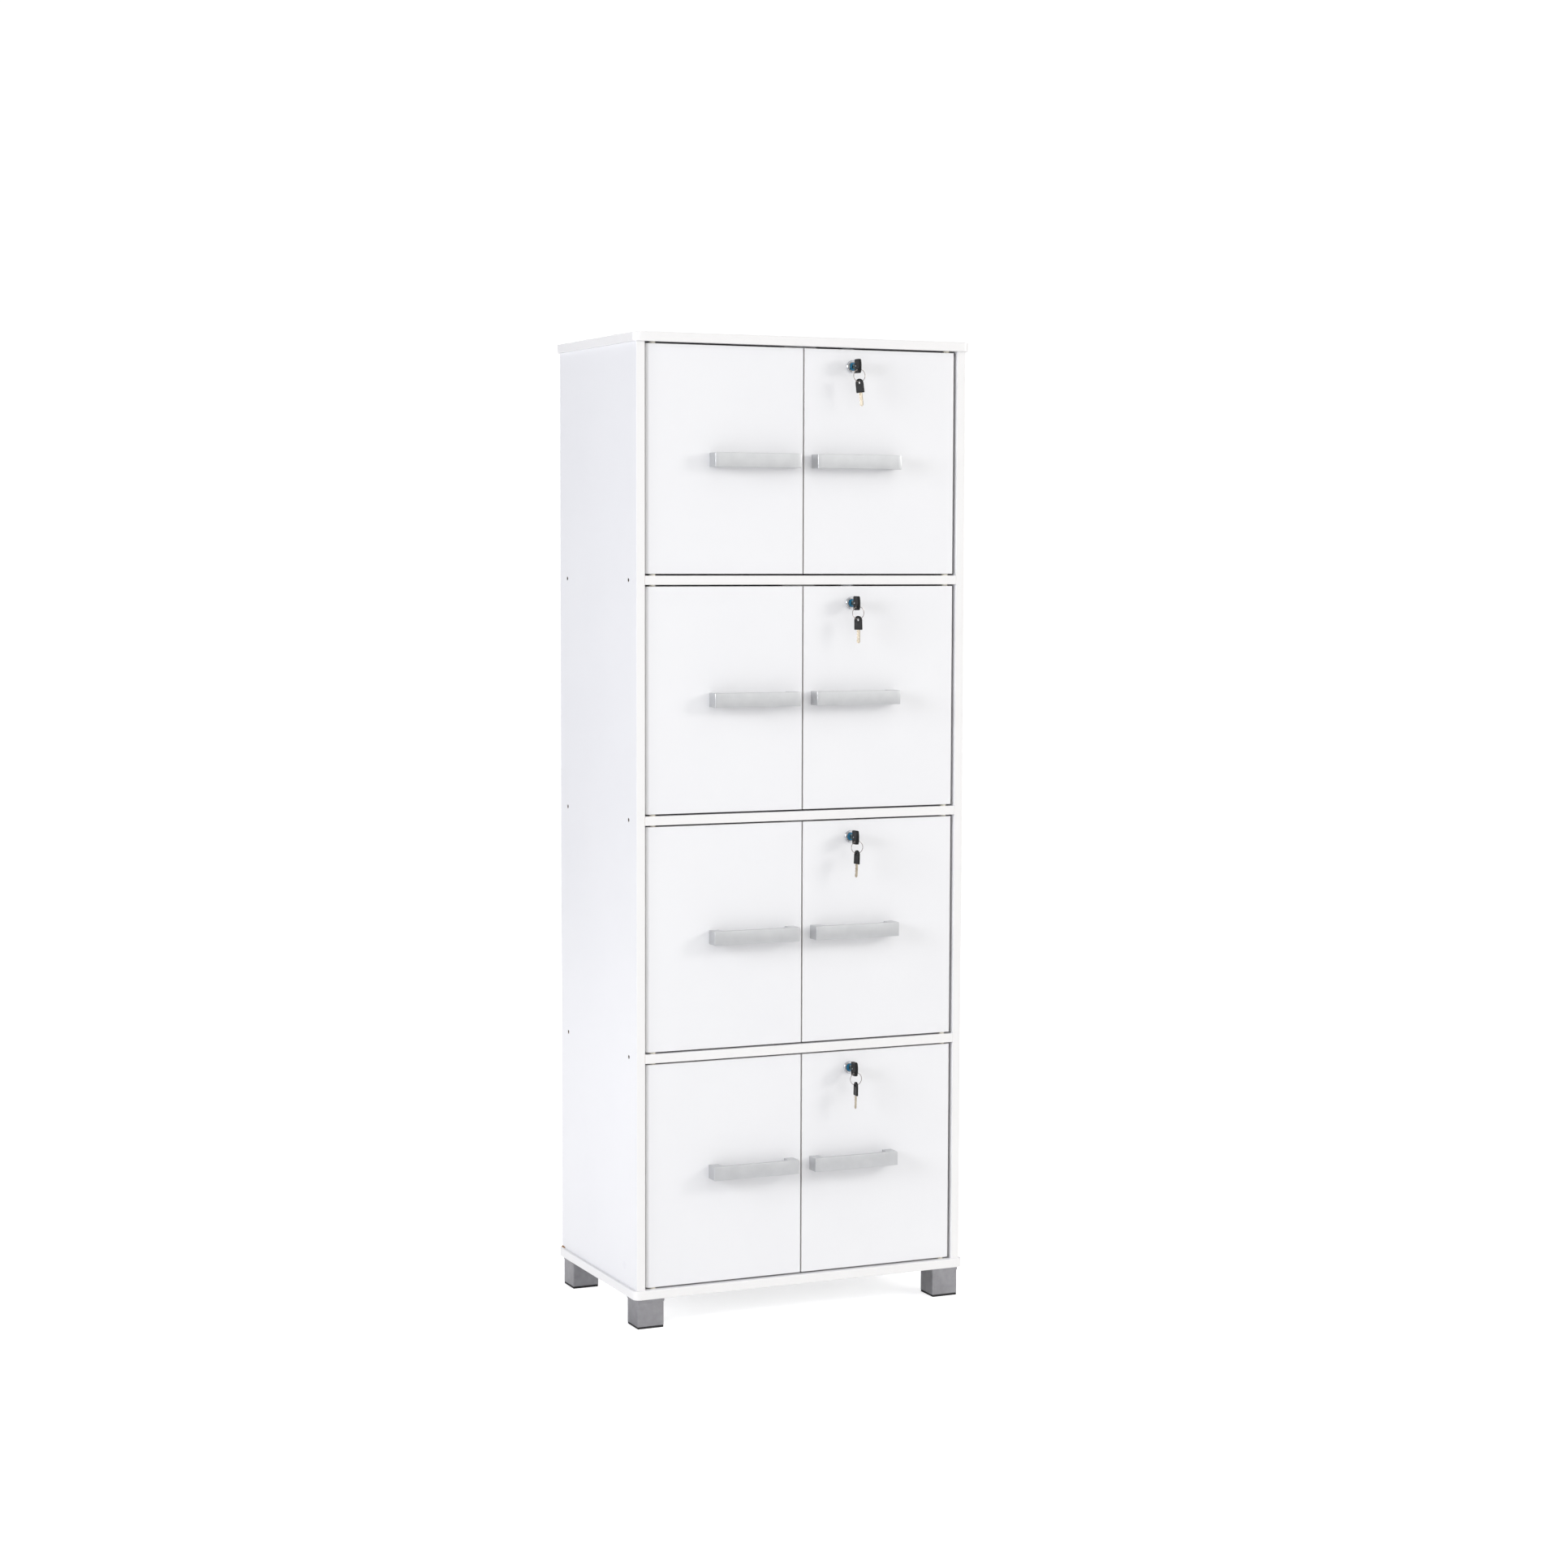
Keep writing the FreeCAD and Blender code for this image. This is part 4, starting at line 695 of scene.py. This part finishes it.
for tier, height in LOCK_HEIGHTS.items():
    plug, cam = f"lock_plug_{tier}", f"lock_cam_{tier}"
    screw = skin(CAM_SCREW[:, :, [0, 2, 1]] + [LOCK_X, DOOR_FRONT + CAM_BACK, height])
    piece(f"lock_cam_blank_{tier}", [cam_blank(height)], zinc, plug, cam, crease=25.0)
    piece(f"lock_cam_screw_{tier}", [screw], zinc, plug, cam, crease=30.0)

# -----------------------------------------------------------------------------
# The key in each lock: a black moulded head, folded across the blade on a small steel pin, with
# a raised border, a sunk panel and a hole for the ring; the nickel blade stands in the plug.

HEAD_BACK, HEAD_FRONT, HEAD_HALF, HEAD_THICK, HEAD_BELLY = -13.0, -32.0, 12.5, 5.4, 2.5
RING_DEPTH, RING_DROP = -28.6, 6.0
LOOP_POINTS = 160
BLADE_THICK, BLADE_GROOVE, BLADE_CUTS, CUT_DEPTH = 2.0, 0.35, 4, 1.6


def softened(points, radius):
    """A closed outline with its corners eased: its points are spread evenly along its length, and
    averaged with their neighbours again and again, until that reaches over about the radius."""
    closed = np.array([*points, points[0]], float)
    length = np.concatenate([[0], np.cumsum(np.linalg.norm(np.diff(closed, axis=0), axis=1))])
    wanted = np.linspace(0, length[-1], LOOP_POINTS, endpoint=False)
    loop = np.column_stack([np.interp(wanted, length, closed[:, k]) for k in range(2)])
    spacing = np.linalg.norm(loop[1] - loop[0])
    for _ in range(max(1, int((radius / spacing) ** 2))):
        loop = 0.5 * loop + 0.25 * (np.roll(loop, 1, 0) + np.roll(loop, -1, 0))
    return loop


def moulded_head(outline, hole, hole_radius, thickness, border, sunk):
    """A flat moulded head with a hole. Rings go from the hole's edge out to the outline over one
    face, round the rim and back over the other: each lies between the hole's circle and the
    outline, at a set distance in from one of them, and stands as high as the relief there:
    a raised eye, a sunk panel, a raised border and a rounded rim."""
    away = outline - hole
    distance = np.linalg.norm(away, axis=1)[:, None]
    direction = away / distance
    top, ease = thickness / 2, 0.9
    slope, floor = top - sunk / 2, top - sunk
    room = distance - hole_radius
    eye = np.minimum(1.3, room * 0.3)
    rim_a, rim_b = np.minimum(border, room * 0.3), np.minimum(border + 0.5, room * 0.42)
    from_hole = [(0.0, top - 0.5), (0.12, top - 0.15), (0.45, top), (eye * 0.5 + 0.2, top), (eye, top),
                 (eye + 0.2, slope), (eye + 0.4, floor), (eye + 0.6, floor)]
    from_rim = [(rim_b + 0.3, floor), (rim_b + 0.1, floor), ((rim_a + rim_b) / 2, slope), (rim_a, top),
                (rim_a - 0.2, top), (ease + 0.15, top), (ease, top - 0.01), (ease * 0.5, top - ease * 0.14),
                (ease * 0.14, top - ease * 0.5), (0.0, top - ease)]
    steps = [(hole_radius + step, level) for step, level in from_hole]
    steps += [(distance - step, level) for step, level in from_rim]
    face = [np.column_stack([np.full(len(away), level), hole + direction * reach]) for reach, level in steps]
    return skin(face + [loop * [-1, 1, 1] for loop in face[::-1]], looped=True)


def cut_blade(length, width):
    """A flat blade along Y: its ring is a bar with a milled groove down each side, its upper edge
    drops at each cut as a V, and both edges close towards the tip."""
    half = width / 2
    tip = half * 0.8
    along = np.linspace(0, length, 97)
    upper = np.full(len(along), half)
    pitch = (length - 2 * tip) / (BLADE_CUTS + 1)
    middles = tip + pitch * np.arange(1, BLADE_CUTS + 1)
    bites = np.clip(1 - np.abs(along[:, None] - middles) / (pitch / 3), 0, 1) * CUT_DEPTH
    upper = np.minimum(upper, half - bites.max(1))
    upper = np.minimum(upper, np.interp(along, [length - tip * 0.6, length], [half, -half * 0.1]))
    lower = np.interp(along, [0, length - tip, length], [-half, -half, -half * 0.2])
    side, groove = BLADE_THICK / 2, BLADE_THICK / 2 - BLADE_GROOVE
    low_wall, high_wall = np.full(len(along), -0.16 * width), np.full(len(along), 0.064 * width)
    across = np.array([side - 0.25, side, side, groove, groove, side, side, side - 0.25])
    up = np.stack([lower, lower + 0.25, np.minimum(lower + half * 0.5, low_wall - 0.3), low_wall,
                   high_wall, np.minimum(high_wall + 0.3, upper - 0.3), upper - 0.25, upper], axis=1)
    up = np.clip(up, lower[:, None], upper[:, None])
    ring_up = np.concatenate([up, up[:, ::-1]], axis=1)
    ring_across = np.broadcast_to(np.concatenate([across, -across[::-1]]), ring_up.shape)
    ring_along = np.broadcast_to(along[:, None], ring_up.shape)
    return skin(np.stack([ring_across, ring_along, ring_up], axis=-1))


key_black, tree, shader, position = material("key_black")
pearl = place(tree, PEARL, {"Vector": position, "Grains": 2600.0, "Clouds": 180.0})
touch = place(tree, HANDLING, {"Vector": position, "Size": 120.0})
tree.links.new(mixed(tree, touch.outputs["Mask"], paint(9, 9, 11), paint(24, 24, 28)),
               shader.inputs["Base Color"])
tree.links.new(ranged(tree, touch.outputs["Mask"], 0.38, 0.54), shader.inputs["Roughness"])
shader.inputs["Specular IOR Level"].default_value = 0.3
relief(tree, shader, pearl.outputs["Height"], 0.03)
nickel = metal("nickel_blade", paint(170, 158, 138), paint(216, 206, 188), (0.25, 0.42),
               stretch=(6.0, 6.0, 0.6))

rise = np.linspace(HEAD_HALF, -HEAD_HALF, 25)
key_outline = [(HEAD_BACK, -HEAD_HALF), (HEAD_BACK, HEAD_HALF),
               *np.column_stack([HEAD_FRONT + HEAD_BELLY * (rise / HEAD_HALF) ** 2, rise])]
BLADE_START, BLADE_END = HEAD_BACK - 8.0, PLUG_FACE + 17.0
FOLD_AT = HEAD_BACK - 5.0
FOLD_REACH = HEAD_THICK / 2 + 0.05
FOLD_PIN = [(1.25, -FOLD_REACH), (1.5, 0.2 - FOLD_REACH), (1.5, FOLD_REACH - 0.2), (1.25, FOLD_REACH)]
head_points, head_faces = moulded_head(softened(key_outline, 1.6), np.array([RING_DEPTH, -RING_DROP]),
                                       1.6, HEAD_THICK, 2.0, 0.45)
blade_points, blade_faces = cut_blade(BLADE_END - BLADE_START, 8.0)
for tier, height in LOCK_HEIGHTS.items():
    axis = np.array([LOCK_X, DOOR_FRONT, height])
    key = f"key_{tier}"
    piece(f"key_head_{tier}", [(head_points + axis, head_faces)], key_black, key, key)
    piece(f"key_blade_{tier}", [(blade_points + axis + [0, BLADE_START, 0], blade_faces)], nickel, key, key,
          crease=25.0)
    piece(f"key_fold_pin_{tier}", [pin(FOLD_PIN, 0, axis + [0, FOLD_AT, 0])], steel, key, key)

# -----------------------------------------------------------------------------
# A split ring of flat spring wire, wound twice, through each key's head, and the spare key that
# hangs on it: a thin black head with a large eye and shoulders, and a cut nickel blade.

RING_RADIUS = 11.2
WIRE_HALF_WIDTH, WIRE_HALF_THICK = 0.27, 0.45
# how each spare key hangs, in degrees, from the top tier down
SPARE_TURN = (30.0, 30.0, 6.0, -5.0)
SPARE_TILT = (-7.0, -1.0, 2.0, 1.0)


def split_ring(centre):
    """Flat wire wound twice: the line goes round a circle in the upright plane and, in the half
    radian before the first turn closes, steps aside by its own width; its ring is an oblong."""
    angle = np.linspace(0, 4 * math.pi - 0.06, 241)
    aside = np.clip((angle - (2 * math.pi - 0.5)) / 0.5, 0, 1)
    aside = -0.28 + 0.56 * aside * aside * (3 - 2 * aside)
    turn = np.radians(np.arange(0, 360, 30.0)) + 0.001
    wide = WIRE_HALF_WIDTH * np.sign(np.cos(turn)) * np.abs(np.cos(turn)) ** 0.5
    radius = RING_RADIUS + WIRE_HALF_THICK * np.sign(np.sin(turn)) * np.abs(np.sin(turn)) ** 0.7
    start = math.radians(200)
    across = radius[None, :] * np.cos(angle + start)[:, None]
    up = radius[None, :] * np.sin(angle + start)[:, None]
    depth = aside[:, None] + wide[None, :]
    return skin(np.stack([across + centre[0], depth + centre[1], up + centre[2]], axis=-1))


def hung(points, tier, place_at):
    """A spare key's points turned about the upright, then tilted in the door's plane, and moved."""
    turn, tilt = math.radians(SPARE_TURN[tier - 1]), math.radians(SPARE_TILT[tier - 1])
    turned = Matrix.Rotation(tilt, 3, "Y") @ Matrix.Rotation(turn, 3, "Z")
    return points @ np.array(turned).T + place_at


SHOULDER, SHOULDER_HEIGHT, SPARE_FOOT = 8.0, -2.0, -19.0
BLADE_TOP = -11.0
arch = np.linspace(0, math.pi, 17)
spare_outline = [(SHOULDER, SPARE_FOOT)]
spare_outline += [(SHOULDER * math.cos(a), SHOULDER_HEIGHT + SHOULDER * math.sin(a)) for a in arch]
spare_outline += [(-SHOULDER, SPARE_FOOT)]
head_points, head_faces = moulded_head(softened(spare_outline, 1.0), np.array([0.0, -0.9]), 2.5,
                                       3.4, 1.7, 0.35)
blade_points, blade_faces = cut_blade(32.0, 6.5)
hanging = np.column_stack([blade_points[:, 0], blade_points[:, 2], BLADE_TOP - blade_points[:, 1]])
ring_steel = metal("ring_steel", paint(128, 118, 113), paint(186, 176, 170), (0.14, 0.26), depth=0.003)
for tier, height in LOCK_HEIGHTS.items():
    spare = f"spare_key_{tier}"
    eye = np.array([LOCK_X, DOOR_FRONT + RING_DEPTH, height - RING_DROP])
    low_wire = eye - [0, 0, 2 * RING_RADIUS]
    piece(f"split_ring_{tier}", [split_ring(eye - [0, 0, RING_RADIUS])], ring_steel, spare, spare)
    piece(f"spare_key_head_{tier}", [(hung(head_points, tier, low_wire), head_faces)], key_black, spare,
          spare)
    piece(f"spare_key_blade_{tier}", [(hung(hanging, tier, low_wire), blade_faces)], nickel, spare, spare,
          crease=25.0)

# -----------------------------------------------------------------------------
# The studio: a pale floor that runs out of sight, an even white surround, a soft light from the
# right that draws the shadows of handles and keys, wide ones from the left and behind, the camera.

floor_white, tree, shader, position = material("floor_white")
pearl = place(tree, PEARL, {"Vector": position, "Grains": 60.0, "Clouds": 2.0})
tree.links.new(mixed(tree, pearl.outputs["Cloud"], paint(236, 236, 236), paint(240, 240, 240)),
               shader.inputs["Base Color"])
shader.inputs["Roughness"].default_value = 0.9
shader.inputs["Emission Color"].default_value = (1.0, 1.0, 1.0, 1.0)
tree.links.new(ranged(tree, put(tree, "ShaderNodeLightPath").outputs["Is Camera Ray"], 0.07, 0.6),
               shader.inputs["Emission Strength"])
FLOOR_REACH = 5.0
floor_corners = FLOOR_REACH * np.array([[-1, -1, 0], [1, -1, 0], [1, 1, 0], [-1, 1, 0]])
floor_mesh = bpy.data.meshes.new("studio_floor")
floor_mesh.from_pydata(floor_corners.tolist(), [], [[0, 1, 2, 3]])
floor_mesh.materials.append(floor_white)
floor = bpy.data.objects.new("studio_floor", floor_mesh)
bpy.context.scene.collection.objects.link(floor)

surround = bpy.data.worlds.new("surround")
surround.use_nodes = True
tree = surround.node_tree
seen = put(tree, "ShaderNodeBackground", {"Color": (1.0, 1.0, 1.0, 1.0), "Strength": 1.05})
direction = put(tree, "ShaderNodeTexCoord").outputs["Generated"]
toward = put(tree, "ShaderNodeVectorMath", {0: direction, 1: (0.42, -0.8, 0.42)}, operation="DOT_PRODUCT")
wall = mixed(tree, ranged(tree, toward.outputs["Value"], 0.0, 1.0, 0.2, 1.0), (0.16, 0.16, 0.18, 1.0),
             (1.2, 1.2, 1.19, 1.0))
felt = put(tree, "ShaderNodeBackground", {"Color": wall})
rays = put(tree, "ShaderNodeLightPath")
choice = put(tree, "ShaderNodeMixShader", {0: rays.outputs["Is Camera Ray"], 1: felt.outputs[0],
                                           2: seen.outputs[0]})
world_output = next(node for node in tree.nodes if node.type == "OUTPUT_WORLD")
tree.links.new(choice.outputs[0], world_output.inputs["Surface"])
bpy.context.scene.world = surround

CABINET_MIDDLE = np.array([0.0, 0.0, 0.95])


def softbox(name, direction, distance, size, power, colour):
    """An area light at a distance from the cabinet's middle along a direction, facing it."""
    lamp = bpy.data.lights.new(name, "AREA")
    lamp.shape, lamp.size, lamp.energy, lamp.color = "DISK", size, power, colour
    made = bpy.data.objects.new(name, lamp)
    aim = np.array(direction) / np.linalg.norm(direction)
    made.location = CABINET_MIDDLE + aim * distance
    made.rotation_mode = "QUATERNION"
    made.rotation_quaternion = Vector(aim).to_track_quat("Z", "Y")
    bpy.context.scene.collection.objects.link(made)


softbox("light_from_the_right", (1.6, -1.0, 0.55), 4.2, 1.0, 42.0, (1.0, 0.985, 0.96))
softbox("light_from_the_left", (-1.6, -0.5, 0.4), 4.6, 2.2, 130.0, (0.96, 0.97, 1.0))
softbox("light_from_behind", (0.3, 1.6, 0.75), 4.6, 2.0, 125.0, (1.0, 0.99, 0.98))

camera = bpy.data.objects.new("camera", bpy.data.cameras.new("camera"))
camera.data.lens, camera.data.sensor_width = 69.49, 36.0
camera.data.clip_end = 200.0
turn_right, tip_down, roll = math.radians(24.386), math.radians(4.39), math.radians(0.175)
level = Matrix.Rotation(-turn_right, 4, "Z") @ Matrix.Rotation(math.pi / 2 - tip_down, 4, "X")
stand = Matrix.Translation((-2.2564, -5.07, 1.3723))
camera.matrix_world = stand @ level @ Matrix.Rotation(roll, 4, "Z")
bpy.context.scene.collection.objects.link(camera)
bpy.context.scene.camera = camera
bpy.context.scene.view_settings.view_transform = "Standard"
